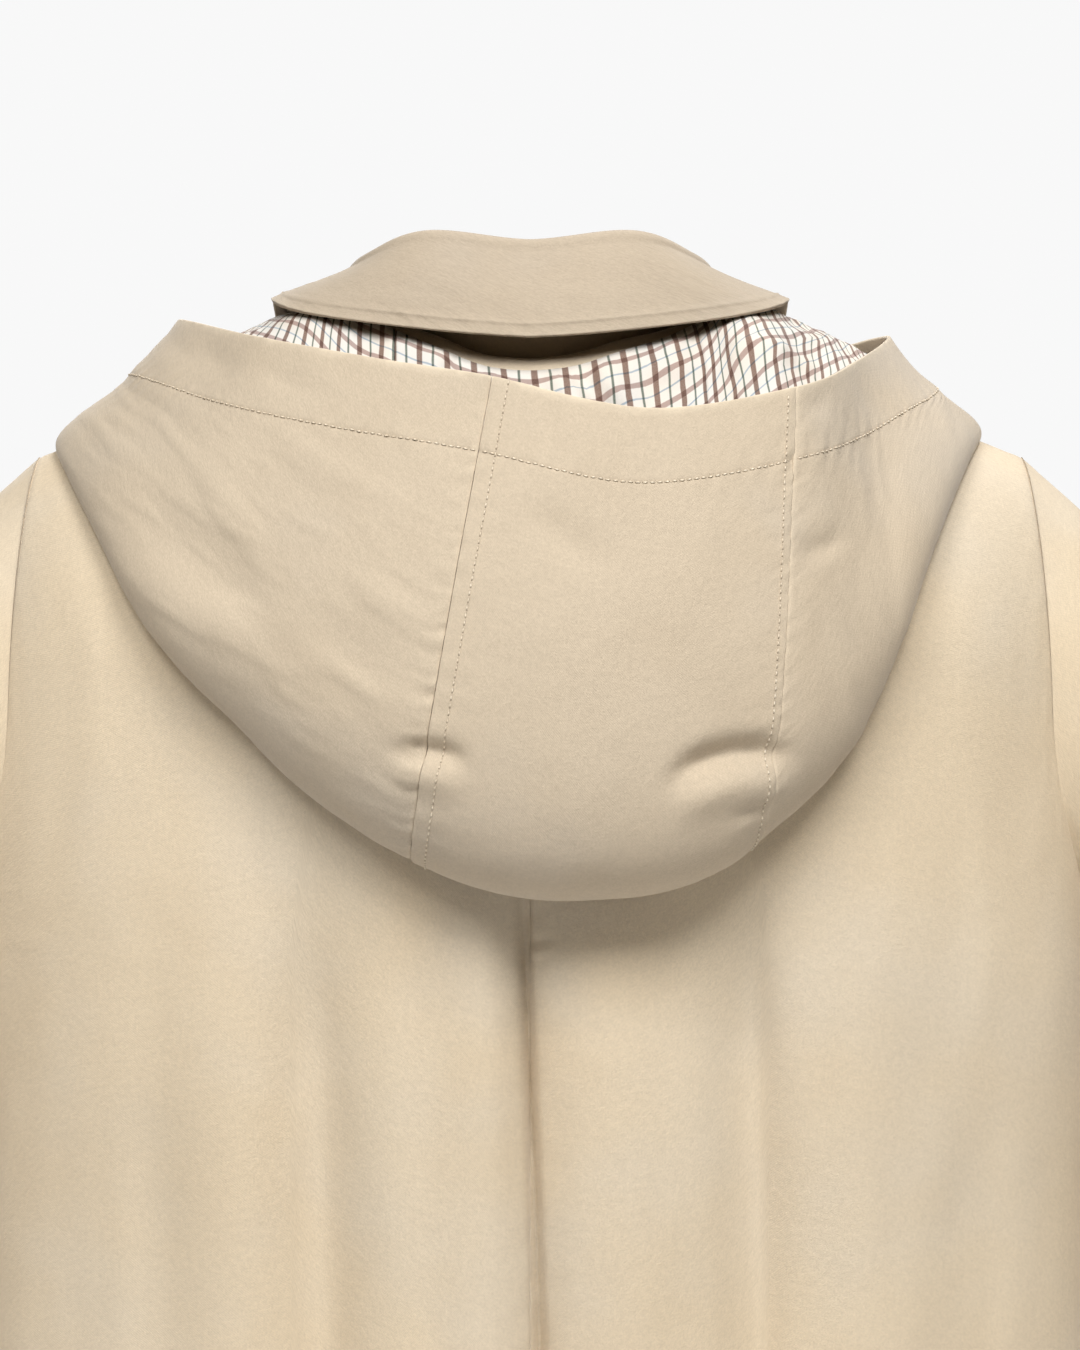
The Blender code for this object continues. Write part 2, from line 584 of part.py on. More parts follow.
def hood_point(station, share):
    """The hood's sheet at a section of the table and a share of the way along that section:
    from its neck edge down the inner wall (0 to 0.5) and up the outer wall to its opening."""
    keys = np.arange(len(HOOD), dtype=float)

    def column(values):
        return smooth_between(keys, np.array(values, float), station)

    neck_angle = np.radians(column([row.neck_angle for row in HOOD]))
    x, drop, is_back = neckline(neck_angle)
    neck_x = x * HOOD_NECK_SPREAD
    neck_lap = lap_of(x, drop, is_back) + HOOD_NECK_LAP * np.cos(neck_angle)
    fold_laps = [
        float(
            lap_of(row.fold_x, row.fold_drop + shoulder_drop(row.fold_x), abs(row.neck_angle) < 110)
        )
        for row in HOOD
    ]
    fold_x, fold_lap = column([row.fold_x for row in HOOD]), column(fold_laps)
    fold_lift = column([row.fold_lift for row in HOOD])
    bridge, seat = column([row.bridge for row in HOOD]), column([row.seat for row in HOOD])

    reach = np.clip(share / 0.5, 0, 1)
    at_x = neck_x + (fold_x - neck_x) * reach
    at_lap = neck_lap + (fold_lap - neck_lap) * reach
    rise = np.clip((reach - 0.6) / 0.4, 0, 1) ** 2
    lift = seat + bridge * np.sin(np.pi * reach**0.6) + (fold_lift - seat) * rise
    inner = over_torso(at_x, at_lap) + over_torso_normal(at_x, at_lap) * lift[..., None]

    out = over_torso_normal(fold_x, fold_lap)
    fold = over_torso(fold_x, fold_lap) + out * fold_lift[..., None]
    edge = np.stack(
        [column([getattr(row, name) for row in HOOD]) for name in ("edge_x", "edge_y", "edge_z")],
        axis=-1,
    )
    swell = column([row.swell for row in HOOD])[..., None]
    belly = column([row.belly for row in HOOD])[..., None]
    t = np.clip((share - 0.5) / 0.5, 0, 1)[..., None]
    low = fold + out * swell * 1.2
    high = edge + (fold - edge) * 0.4 + out * (belly + swell * 0.3)
    outer = (
        (1 - t) ** 3 * fold + 3 * (1 - t) ** 2 * t * low + 3 * (1 - t) * t * t * high + t**3 * edge
    )
    return np.where((share < 0.5)[..., None], inner, outer)


def hood_shares():
    """The shares at which a section is divided, closer together where the cloth turns."""
    inner, outer = np.array(HOOD_INNER_STEPS), np.array(HOOD_OUTER_STEPS)
    return np.concatenate([inner / 2, 0.5 + outer / 2])


def hood(home):
    spans = {
        "left": (0, HOOD_LEFT_SEAM, HOOD_LEFT_COLUMNS),
        "middle": (HOOD_LEFT_SEAM, HOOD_RIGHT_SEAM, HOOD_MIDDLE_COLUMNS),
        "right": (HOOD_RIGHT_SEAM, HOOD_RIGHT_END, HOOD_RIGHT_COLUMNS),
    }
    sheets = []
    for first, last, columns in spans.values():
        station, share = np.meshgrid(np.linspace(first, last, columns + 1), hood_shares())
        sheets.append(hood_point(station, share))
    half_gap = HOOD_SEAM_GAP / 2
    within = CLOTH / 2 + LINING_GAP + LINING / 2
    for word, sheet, out in zip(spans, sheets, sewn_directions(sheets)):
        gaps = (0.0 if word == "left" else half_gap, 0.0 if word == "right" else half_gap)
        drawn = drawn_in(sheet, out, 0.0, 0.0, *gaps)
        wall("hood_" + word, drawn, out, CLOTH, TWILL, home)
        first = LINING_FRONT_MARGIN if word == "left" else None
        last = -LINING_FRONT_MARGIN if word == "right" else None
        part = (slice(LINING_FIRST_ROW, LINING_LAST_ROW), slice(first, last))
        inside = drawn[part] + out[part] * within
        wall("lining_" + word, inside, out[part], LINING, CHECK, home)


# ---------------------------------------------------------------- zip


def front_line(x, drop):
    """The front's surface beside its centre edge, and the direction out of it."""
    side = np.where(x < 0, -1.0, 1.0)
    point = torso(side * (math.pi - turn_of(x, drop)), drop)
    step = 0.002
    below = torso(side * (math.pi - turn_of(x, drop + step)), drop + step)
    down = unit(below - point)
    out = unit(np.cross(down, np.array([1.0, 0.0, 0.0])))
    return point, out, down


def zip_tape(side, home):
    share = np.linspace(0, 1, ARMHOLE_STEPS + 1)
    down = (1 - np.cos(np.pi * share)) / 2
    upper = NECK_DROP_FRONT + (UNDERARM_DROP - NECK_DROP_FRONT) * down
    lower = UNDERARM_DROP + (HEM_DROP - UNDERARM_DROP) * np.linspace(0, 1, SIDE_STEPS + 1)
    drops = np.concatenate([upper, lower[1:]])
    drops[0] += TAPE_END
    drops[-1] -= TAPE_END
    across, drop = np.meshgrid(np.sort(side * np.array([TAPE_EDGE, TAPE_REACH])), drops)
    point, out, _ = front_line(across, drop)
    sheet = point - out * (CLOTH / 2 + SEAM_GAP + TAPE / 2)
    word = "left" if side > 0 else "right"
    wall("zip_tape_" + word, sheet, out, TAPE, WEBBING, home)


def block(name, size, centre, round_by, finish, home):
    """A box with rounded edges, whose size and centre are in the slider's own frame."""
    bpy.ops.mesh.primitive_cube_add(size=1)
    made = bpy.context.active_object
    made.name = name
    made.data.transform(Matrix.Translation(centre) @ Matrix.Diagonal((*size, 1)))
    bevel = made.modifiers.new("rounded", "BEVEL")
    bevel.width = round_by
    bevel.segments = 2
    made.data.materials.append(material(finish))
    for old in list(made.users_collection):
        old.objects.unlink(made)
    home.objects.link(made)
    return made


def cut_or_join(target, tool, operation):
    modifier = target.modifiers.new(operation.lower(), "BOOLEAN")
    modifier.operation = operation
    modifier.object = tool
    tool.hide_render = True
    tool.display_type = "WIRE"


# The slider in its own frame: X across the zip, Y out of the jacket's front, Z up the zip, and
# its origin on the pivot of the pull tab
SLIDER_WIDTH = 0.0092
SLIDER_LENGTH = 0.0150
SLIDER_THICK = 0.0026
BRIDGE_WIDTH = 0.0020
BRIDGE_WALL = 0.0014
BRIDGE_ROOM = 0.0026
BRIDGE_LENGTH = 0.0084
TAB_WIDTH = 0.0070
TAB_LENGTH = 0.0300
TAB_THICK = 0.0012
TAB_WINDOW_WIDTH = 0.0032
TAB_WINDOW_LENGTH = 0.0058
TAB_BAR = 0.0007
BOX_SIZE = (0.0090, 0.0030, 0.0080)


def zip_slider(parent, home, tools):
    """The slider with its bridge, and the pull tab whose cross bar turns under the bridge."""
    face = -BRIDGE_ROOM / 2
    body = block(
        "zip_slider",
        (SLIDER_WIDTH, SLIDER_THICK, SLIDER_LENGTH),
        (0, face - SLIDER_THICK / 2, 0),
        0.0006,
        METAL,
        home,
    )
    arch = block(
        "bridge",
        (BRIDGE_WIDTH, BRIDGE_ROOM + BRIDGE_WALL + 0.0004, BRIDGE_LENGTH),
        (0, face - 0.0004 + (BRIDGE_ROOM + BRIDGE_WALL + 0.0004) / 2, 0),
        0.0003,
        METAL,
        tools,
    )
    room = block(
        "bridge_room",
        (BRIDGE_WIDTH * 2, BRIDGE_ROOM, BRIDGE_LENGTH - 2 * BRIDGE_WALL),
        (0, 0, 0),
        0.0002,
        METAL,
        tools,
    )
    cut_or_join(body, arch, "UNION")
    cut_or_join(body, room, "DIFFERENCE")
    tab = block(
        "zip_pull",
        (TAB_WIDTH, TAB_THICK, TAB_LENGTH),
        (0, 0, TAB_BAR - TAB_LENGTH / 2),
        0.0003,
        METAL,
        home,
    )
    window = block(
        "tab_window",
        (TAB_WINDOW_WIDTH, TAB_THICK * 3, TAB_WINDOW_LENGTH),
        (0, 0, -TAB_BAR - TAB_WINDOW_LENGTH / 2),
        0.0003,
        METAL,
        tools,
    )
    cut_or_join(tab, window, "DIFFERENCE")
    for piece in (body, arch, room, tab, window):
        piece.parent = parent


def zip_fastener(home, tools):
    for side in (1, -1):
        zip_tape(side, home)
    point, out, down = front_line(np.array([0.0]), np.array([SLIDER_DROP]))
    seat = -CLOTH / 2 - SEAM_GAP
    pivot = point[0] + out[0] * (seat + SEAM_GAP + SLIDER_THICK + BRIDGE_ROOM / 2)
    frame = bpy.data.objects.new("slider_frame", None)
    home.objects.link(frame)
    up = -down[0]
    across = np.cross(out[0], up)
    frame.matrix_world = Matrix(
        [[across[i], out[0][i], up[i], pivot[i]] for i in range(3)] + [[0, 0, 0, 1]]
    )
    zip_slider(frame, home, tools)
    end, end_out, end_down = front_line(np.array([0.0]), np.array([HEM_DROP - 0.008]))
    box_frame = bpy.data.objects.new("box_frame", None)
    home.objects.link(box_frame)
    middle = end[0] + end_out[0] * (seat + SEAM_GAP + BOX_SIZE[1] / 2)
    across = np.cross(end_out[0], -end_down[0])
    box_frame.matrix_world = Matrix(
        [[across[i], end_out[0][i], -end_down[0][i], middle[i]] for i in range(3)] + [[0, 0, 0, 1]]
    )
    box = block("zip_box", BOX_SIZE, (0, 0, 0), 0.0006, METAL, home)
    box.parent = box_frame


def main():
    clear_scene()
    home = collection("hooded_zip_jacket")
    tools = collection("cutters")
    body_and_sleeves(home)
    collar(home)
    hood(home)
    zip_fastener(home, tools)


main()
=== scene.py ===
"""The looks of a hooded zip jacket, filled out as if worn, with nobody in it.

Metres, +Z up, in the part's own frame: the front faces -Y and the wearer's left is +X.
The solids' sheets are worked out again here from the same tables, much more finely, and get
what sewing and wear do to cloth: seams, hems, stitches, puckers and creases. Every cloth piece
replaces its solid, and the slider, its pull tab and the end box keep theirs.
"""

import math
from collections import namedtuple

import bpy
import numpy as np
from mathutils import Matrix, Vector

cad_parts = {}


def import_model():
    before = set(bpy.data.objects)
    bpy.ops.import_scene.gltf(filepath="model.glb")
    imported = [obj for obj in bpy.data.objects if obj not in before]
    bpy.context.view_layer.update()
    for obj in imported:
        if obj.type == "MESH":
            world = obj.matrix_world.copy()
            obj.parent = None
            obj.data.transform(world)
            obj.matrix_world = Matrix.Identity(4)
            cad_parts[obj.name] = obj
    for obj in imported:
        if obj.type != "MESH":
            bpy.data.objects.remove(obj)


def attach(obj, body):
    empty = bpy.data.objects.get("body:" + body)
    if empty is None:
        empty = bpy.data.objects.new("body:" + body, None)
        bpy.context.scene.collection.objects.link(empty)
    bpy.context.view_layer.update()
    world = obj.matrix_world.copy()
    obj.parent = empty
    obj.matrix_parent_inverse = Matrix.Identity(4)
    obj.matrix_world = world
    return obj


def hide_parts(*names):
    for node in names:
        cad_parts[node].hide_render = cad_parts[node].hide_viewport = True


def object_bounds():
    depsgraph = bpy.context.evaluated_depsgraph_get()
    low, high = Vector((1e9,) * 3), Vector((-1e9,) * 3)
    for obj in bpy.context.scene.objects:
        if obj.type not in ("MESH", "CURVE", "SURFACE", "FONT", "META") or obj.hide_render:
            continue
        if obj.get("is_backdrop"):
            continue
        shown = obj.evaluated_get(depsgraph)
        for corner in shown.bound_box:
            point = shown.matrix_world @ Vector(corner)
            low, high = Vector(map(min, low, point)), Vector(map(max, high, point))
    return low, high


def table(columns, *rows):
    """Rows of numbers with named columns."""
    row_of = namedtuple("Row", columns)
    return tuple(row_of(*row) for row in rows)


UP, BACKWARD = np.array([0.0, 0.0, 1.0]), np.array([0.0, 1.0, 0.0])
SIDES = ((1, "left"), (-1, "right"))

# Walls
CLOTH = 0.0016
LINING = 0.0010
COLLAR_CLOTH = 0.0024
TAPE = 0.0010
SEAM_GAP = 0.0003

# Body: the neck hole, the shoulder line and the armhole
NECK_HALF = 0.075
NECK_DROP_BACK = 0.012
NECK_DROP_FRONT = 0.085
SHOULDER_HALF = 0.233
SHOULDER_SLOPE = 0.40
SHOULDER_SOFTNESS = 0.05
SHOULDER_Y = -0.005
ARMHOLE_HALF = 0.243
UNDERARM_DROP = 0.285
HEM_DROP = 0.72
ROUNDNESS = 0.8
NECK_SHARE = 0.36

# Zip: it fills the gap between the two front edges
ZIP_HALF = 0.0065
TAPE_EDGE = 0.0005
TAPE_REACH = 0.0165
TAPE_END = 0.004
SLIDER_DROP = 0.103

# The neckline's angles from the centre back, by which the columns of the body's sheets fan out,
# how much faster they fan out towards the side seam, and the angle at which the collar ends
NECK_ANGLES = {"back": (0, 18, 36, 54, 72, 90), "front": (175.03, 151, 128, 108, 98, 92.5, 90)}
COLUMN_FANNING = 1.5
COLLAR_END = 175.03

# Half width and depths of the body, by the drop below the neck points
TORSO = table(
    "drop half_width back front",
    (-0.02, 0.260, 0.116, 0.106),
    (0.10, 0.262, 0.122, 0.114),
    (0.20, 0.265, 0.129, 0.124),
    (0.285, 0.267, 0.132, 0.128),
    (0.45, 0.267, 0.130, 0.128),
    (0.60, 0.273, 0.134, 0.130),
    (0.72, 0.280, 0.139, 0.133),
)

# Over how much height the shoulder line rounds down into the back and the front
ROUND_BACK = (0.19, 0.10)
ROUND_FRONT = (0.26, 0.10)

# Soft vertical folds: across is where the fold lies at its top and at the hem, a height below
# zero is a trough, and the two widths are those of its sides towards the wearer's left and right
FOLDS = table(
    "face across_top across_hem start full left_width right_width height",
    ("back", 0.004, -0.012, 0.10, 0.34, 0.010, 0.020, -0.0070),
    ("back", 0.026, 0.020, 0.16, 0.36, 0.020, 0.014, 0.0045),
    ("back", -0.034, -0.046, 0.20, 0.36, 0.022, 0.026, 0.0035),
    ("back", 0.092, 0.088, 0.20, 0.40, 0.020, 0.018, -0.0060),
    ("back", 0.066, 0.054, 0.18, 0.36, 0.016, 0.016, 0.0030),
    ("back", 0.135, 0.145, 0.18, 0.40, 0.026, 0.024, 0.0040),
    ("back", -0.100, -0.128, 0.18, 0.40, 0.018, 0.022, -0.0065),
    ("back", -0.146, -0.170, 0.18, 0.42, 0.024, 0.022, 0.0040),
    ("back", -0.074, -0.086, 0.22, 0.42, 0.018, 0.016, 0.0025),
    ("front", 0.090, 0.098, 0.20, 0.46, 0.022, 0.022, -0.0060),
    ("front", 0.130, 0.145, 0.22, 0.46, 0.024, 0.024, 0.0045),
    ("front", -0.096, -0.108, 0.18, 0.46, 0.022, 0.022, -0.0060),
    ("front", -0.140, -0.158, 0.24, 0.50, 0.024, 0.024, 0.0045),
)

# Left sleeve, ring by ring from the armhole to the cuff: its outer and its inner point in the
# plane of the shoulders, how far its middle lies forward, and half its depth
SLEEVE = table(
    "along outer_x outer_z inner_x inner_z middle_y half_depth",
    (0.000, 0.233, -0.058, 0.267, -0.285, 0.000, 0.068),
    (0.070, 0.284, -0.108, 0.276, -0.292, 0.000, 0.073),
    (0.160, 0.336, -0.182, 0.280, -0.305, -0.002, 0.077),
    (0.275, 0.374, -0.290, 0.284, -0.332, -0.003, 0.078),
    (0.410, 0.402, -0.420, 0.310, -0.436, -0.008, 0.071),
    (0.525, 0.418, -0.532, 0.328, -0.543, -0.022, 0.062),
    (0.610, 0.427, -0.617, 0.339, -0.626, -0.036, 0.055),
)
# How alike two outward directions are where a seam still runs on smoothly, and how much
# further out a sleeve starts where it leaves the body at a corner
CORNER = 0.35
CORNER_CLEARANCE = 0.0005
MITRE = 0.6

# Soft folds that cross a sleeve: where along it, at which angle round it (0 is the outer side,
# 90 the back, 180 the inner side), how far they reach along and round it, and how high they are
SLEEVE_FOLDS = table(
    "along angle length spread height",
    (0.150, 120, 0.020, 60, -0.0040),
    (0.215, 140, 0.020, 70, 0.0035),
    (0.335, 160, 0.020, 60, -0.0050),
    (0.385, 150, 0.018, 75, 0.0045),
    (0.430, 190, 0.018, 70, -0.0050),
    (0.480, 170, 0.020, 60, 0.0035),
    (0.300, 250, 0.022, 60, 0.0040),
    (0.560, 120, 0.018, 70, -0.0030),
)

# Collar, by the angle round the neck from the centre back: the height of its fold above the
# neckline, how far the fold leans out, and where its leaf ends: out, up and back along the neck
COLLAR = table(
    "angle rise lean edge_out edge_up edge_back",
    (0, 0.054, -0.004, 0.027, 0.0100, 0.0),
    (40, 0.055, 0.000, 0.032, 0.0130, 0.0),
    (68, 0.0405, 0.001, 0.0425, 0.0142, 0.0),
    (92, 0.0300, 0.002, 0.0475, 0.0140, 0.0),
    (125, 0.0270, 0.003, 0.045, 0.002, 0.004),
    (155, 0.024, 0.003, 0.042, -0.022, 0.014),
    (COLLAR_END, 0.014, 0.002, 0.033, -0.046, 0.034),
)
COLLAR_ROLL = 0.004
COLLAR_SEAT = 0.0015

# Hood, section by section from the left front to the right front: the angle of its neck edge and
# how far that stands off the body, the hood's lowest line on the body (across, and drop below
# the shoulder line), how far that line and the inner wall's hump stand off, the opening edge,
# and how the outer wall swells above its lowest line and below its edge
HOOD = table(
    "neck_angle seat fold_x fold_drop fold_lift bridge edge_x edge_y edge_z swell belly",
    (160, 0.0031, 0.056, 0.105, 0.0050, 0.000, 0.044, -0.096, -0.083, 0.003, 0.000),
    (145, 0.0031, 0.106, 0.076, 0.0058, 0.001, 0.090, -0.086, -0.050, 0.012, 0.005),
    (128, 0.0036, 0.150, 0.046, 0.0065, 0.004, 0.124, -0.070, -0.018, 0.016, 0.008),
    (96, 0.0070, 0.223, 0.000, 0.0070, 0.014, 0.167, -0.004, 0.006, 0.014, -0.005),
    (80, 0.0060, 0.186, 0.074, 0.0090, 0.024, 0.128, 0.088, 0.000, 0.030, 0.006),
    (66, 0.0036, 0.122, 0.170, 0.0110, 0.016, 0.075, 0.128, -0.009, 0.045, 0.014),
    (48, 0.0031, 0.053, 0.243, 0.0130, 0.008, 0.017, 0.145, -0.018, 0.052, 0.018),
    (-6, 0.0031, -0.024, 0.268, 0.0150, 0.006, -0.052, 0.150, -0.032, 0.056, 0.020),
    (-62, 0.0036, -0.101, 0.220, 0.0130, 0.012, -0.120, 0.125, -0.023, 0.052, 0.016),
    (-80, 0.0060, -0.160, 0.125, 0.0110, 0.022, -0.150, 0.078, -0.012, 0.036, 0.006),
    (-96, 0.0070, -0.213, 0.000, 0.0070, 0.014, -0.169, -0.006, -0.001, 0.014, -0.003),
    (-128, 0.0036, -0.146, 0.046, 0.0065, 0.004, -0.122, -0.070, -0.019, 0.016, 0.008),
    (-145, 0.0031, -0.104, 0.076, 0.0058, 0.001, -0.089, -0.086, -0.050, 0.012, 0.005),
    (-160, 0.0031, -0.056, 0.105, 0.0050, 0.000, -0.044, -0.096, -0.083, 0.003, 0.000),
)
# The hood's two seams and its right end, by the section of its table
HOOD_LEFT_SEAM = 6
HOOD_RIGHT_SEAM = 8
HOOD_RIGHT_END = 13
# How much wider than the neckline the hood's neck edge is, and how much lower it lies behind it
HOOD_NECK_SPREAD = 1.10
HOOD_NECK_LAP = 0.045
LINING_GAP = 0.0006

# ---------------------------------------------------------------- what only the looks have

# How far apart the points of the fine sheets lie. An even point that lies nearer to a given one
# than the share CROWDING of a step is left out.
LINE_SAMPLES = 600
BACK_STEP = 0.0036
FRONT_STEP = 0.0056
LOW_ROW_STEP = 0.0065
SLEEVE_STEP = 0.0075
HOOD_STEP = 0.0034
HOOD_ROW_STEP = 0.0021
HOOD_INNER_STEP = 0.0070
LINING_STEP = 0.0036
COLLAR_STEP = 0.0032
CROWDING = 0.35

# The body's rows above the underarm: how many, how long that stretch is, and how far they lie
# evenly down it
UPPER_ROWS = 66
UNDERARM_REACH = 0.236
EVEN_SHARE = 0.4

# The collar's rows, how far its foot goes on into the neck seam, in and down, and how high its
# leaf is crowned
STAND_ROWS = 16
ROLL_ROWS = 9
LEAF_ROWS = 22
LEAF_LAST_ROWS = (0.92, 0.96, 1.0)
NECK_ALLOWANCE = (0.0026, 0.0060)
LEAF_CROWN = 0.0022

# The hood's columns to a section of its table, and its points along a section before it is
# divided anew. How much of a short row the given distances from its ends may take up, and those
# distances from its fold, from its neck edge and beyond that
HOOD_DENSITY = 40
HOOD_SAMPLES = 240
NEAR_SHARE = 0.85
FOLD_POINTS = (0.0007, 0.0015, 0.0025, 0.0038)
NECK_EDGE_POINTS = (0.0006, 0.0012, 0.0018, 0.0024, 0.0032, 0.0042)
NECK_STRIP = (0.0060, 0.066)
# The same for its opening's hem, and for its seams beyond those that all seams have
HOOD_HEM_STRIP = (0.0045, 0.0325)
HOOD_SEAM_POINTS = (0.0046, 0.0062)

# Seams and edges: the distances from them that the fine sheets are also divided at, how deep and
# how wide a seam's groove is, how far each of its sides stays off it, and the share of its
# thickness that a wall keeps at a free edge
SEAM_POINTS = (0.0004, 0.0010, 0.0018, 0.0030)
CENTRE_POINTS = SEAM_POINTS + (0.0042, 0.0056, 0.0072, 0.0090)
EDGE_POINTS = (0.0004, 0.0009, 0.0018)
SEAM_GROOVE = 0.0008
ARMHOLE_GROOVE = 0.00035
SEAM_WIDTH = 0.0009
HALF_GAP = 0.000025
LEFT_SEAM_HALF_GAP = 0.00017
EDGE_ROUNDING = 0.55
# Over how far from a seam the cloth's unevenness grows: beside most seams, a sleeve's own seam
# and the centre seam, and over how far ripples do
CALM = 0.03
SLEEVE_CALM = 0.02
CENTRE_CALM = 0.012
RIPPLE_CALM = 0.006
# How wide the paler, worn edges are
WORN_HEM = 0.002
WORN_FRONT = 0.0016
WORN_COLLAR = 0.0018
WORN_OPENING = 0.0022
WORN_FOLD = 0.004
WORN_SEAM = 0.0015
# The hood's parts: half the gaps at their first and last column, those grooves, and free edges
Seams = namedtuple("Seams", "gaps grooves free")
HOOD_SEAMS = {
    "left": Seams((0.0, LEFT_SEAM_HALF_GAP), (0.0, SEAM_GROOVE), "start top bottom"),
    "middle": Seams((LEFT_SEAM_HALF_GAP, HALF_GAP), (SEAM_GROOVE, ARMHOLE_GROOVE), "top bottom"),
    "right": Seams((HALF_GAP, 0.0), (ARMHOLE_GROOVE, 0.0), "stop top bottom"),
}

# Sewing
STITCH_PITCH = 0.0034
STITCH_LENGTH = 0.0026
THREAD_RADIUS = 0.00036
STITCH_HEIGHT = 0.00040
STITCH_DENT = 0.00024
STITCH_DENT_WIDTH = 0.0009
STITCH_SIDES = 5
# A stitch's rings: how far along it, how high, and how much painted shade darkens each where it
# dips into the cloth
STITCH_SHAPE = (
    (-0.5, -0.7, 1.0), (-0.36, 0.35, 0.7), (0.0, 1.0, 0.0), (0.36, 0.35, 0.7), (0.5, -0.7, 1.0),
)
HOOD_HEM = 0.0355
HEM_STEP = 0.00030
STEP_OVER = 0.0012
LEFT_SEAM_STITCH = 0.0078
LEFT_ALLOWANCE = 0.00022
RIGHT_SEAM_STITCH = 0.0046
RIGHT_ALLOWANCE = 0.00012
COLLAR_STITCH = 0.0062
COLLAR_DENT = 2.2
FRONT_STITCH = 0.0075
BODY_HEM = 0.025
CUFF_HEM = 0.025
# Ripples beside the sewing: how many waves make them, how long those are and how far they reach.
# Then, place by place, the seed of their dice and their height, and what the centre seam's left
# and right side and the hood's middle have of it.
PUCKER_WAVES = 5
PUCKER_PITCH = 0.0085
PUCKER_REACH = 0.012
RIPPLES = {
    "armhole": (21, 0.0006),
    "centre_left": (31, 0.0004),
    "centre_right": (32, 0.0004),
    "side_back": (33, 0.0005),
    "side_front": (34, 0.0005),
    "collar": (41, 0.00022),
    "hood_left": (51, 0.0003),
    "hood_right": (52, 0.00022),
    "middle_left": (53, 0.0004),
    "middle_right": (54, 0.0004),
    "opening": (55, 0.00035),
}
CENTRE_SHARE = {"left": 0.9, "right": 1.3}
MIDDLE_SHARE = 0.6
# The centre seam's ripples start at this drop and grow over that much
CENTRE_FROM = (0.20, 0.05)
# Pinches beside the hood's seams: their seed and strength, how far apart they lie, and their size
PINCHES = {"hood_left": (56, 1.0), "hood_right": (57, 0.4)}
PINCH_APART = (0.0055, 0.0130)
PINCH_LENGTH = (0.007, 0.019)
PINCH_DEPTH = 0.0013
PINCH_WIDTH = 0.0019

# Creases and soft folds, as they are seen from behind: from one point to another, with x towards
# the wearer's left and z up, bowed sideways by bow in between. A height below zero is a trough.
# The widths are those of its sides to the left and to the right of its direction, and fade is
# the share of its length over which each end runs out.
HOOD_CREASES = table(
    "x_from z_from x_to z_to bow left_width right_width height fade",
    # the dimple across the right seam, and the bulge below it
    (-0.056, -0.2020, -0.126, -0.1900, -0.0110, 0.0085, 0.0065, -0.0078, 0.35),
    (-0.060, -0.2130, -0.122, -0.2010, -0.0080, 0.0090, 0.0090, 0.0036, 0.35),
    (-0.088, -0.214, -0.108, -0.210, 0.000, 0.0030, 0.0030, -0.0016, 0.45),
    # the dimple across the left seam
    (0.066, -0.1850, 0.023, -0.1900, -0.0035, 0.0065, 0.0048, -0.0054, 0.40),
    (0.066, -0.1950, 0.026, -0.2000, -0.0025, 0.0070, 0.0080, 0.0030, 0.40),
    # soft diagonal folds of the left side
    (0.196, -0.070, 0.108, -0.136, -0.004, 0.0140, 0.0160, -0.0036, 0.40),
    (0.200, -0.100, 0.118, -0.160, -0.004, 0.0120, 0.0130, 0.0024, 0.40),
    (0.108, -0.120, 0.055, -0.160, 0.000, 0.0100, 0.0120, -0.0020, 0.45),
    (0.160, -0.002, 0.128, -0.018, 0.002, 0.0060, 0.0070, -0.0014, 0.45),
    (0.132, -0.014, 0.084, -0.028, 0.001, 0.0050, 0.0060, -0.0012, 0.45),
    # the middle's soft fold, and the short crease in its hem
    (0.008, -0.074, -0.040, -0.110, -0.002, 0.0080, 0.0100, -0.0022, 0.40),
    (-0.010, -0.030, -0.0115, -0.063, 0.0005, 0.0022, 0.0030, -0.0010, 0.25),
    # the right side's creases beside its seam
    (-0.116, -0.098, -0.146, -0.088, 0.002, 0.0050, 0.0060, -0.0022, 0.40),
    (-0.118, -0.034, -0.140, -0.024, 0.002, 0.0060, 0.0050, -0.0012, 0.45),
    (-0.157, -0.040, -0.163, -0.085, 0.001, 0.0020, 0.0024, 0.0007, 0.40),
    (-0.150, -0.052, -0.154, -0.100, 0.001, 0.0030, 0.0030, 0.0006, 0.40),
)

# Folds of the back that are sharper than those of its solid: across at the drops from and to
BACK_VALLEYS = table(
    "x_from x_to drop_from drop_to left_width right_width height",
    (0.1026, 0.0966, 0.235, 0.480, 0.0200, 0.0140, -0.0100),
    (0.0500, 0.0460, 0.240, 0.460, 0.0080, 0.0110, -0.0018),
    (0.0050, -0.0042, 0.215, 0.460, 0.0028, 0.0028, -0.0095),
    (0.0050, -0.0042, 0.225, 0.480, 0.0095, 0.0095, -0.0050),
    (-0.0978, -0.1038, 0.230, 0.480, 0.0360, 0.0120, -0.0130),
    (-0.1960, -0.2080, 0.200, 0.440, 0.0200, 0.0140, -0.0026),
    (0.1700, 0.1640, 0.330, 0.560, 0.0160, 0.0120, -0.0020),
)

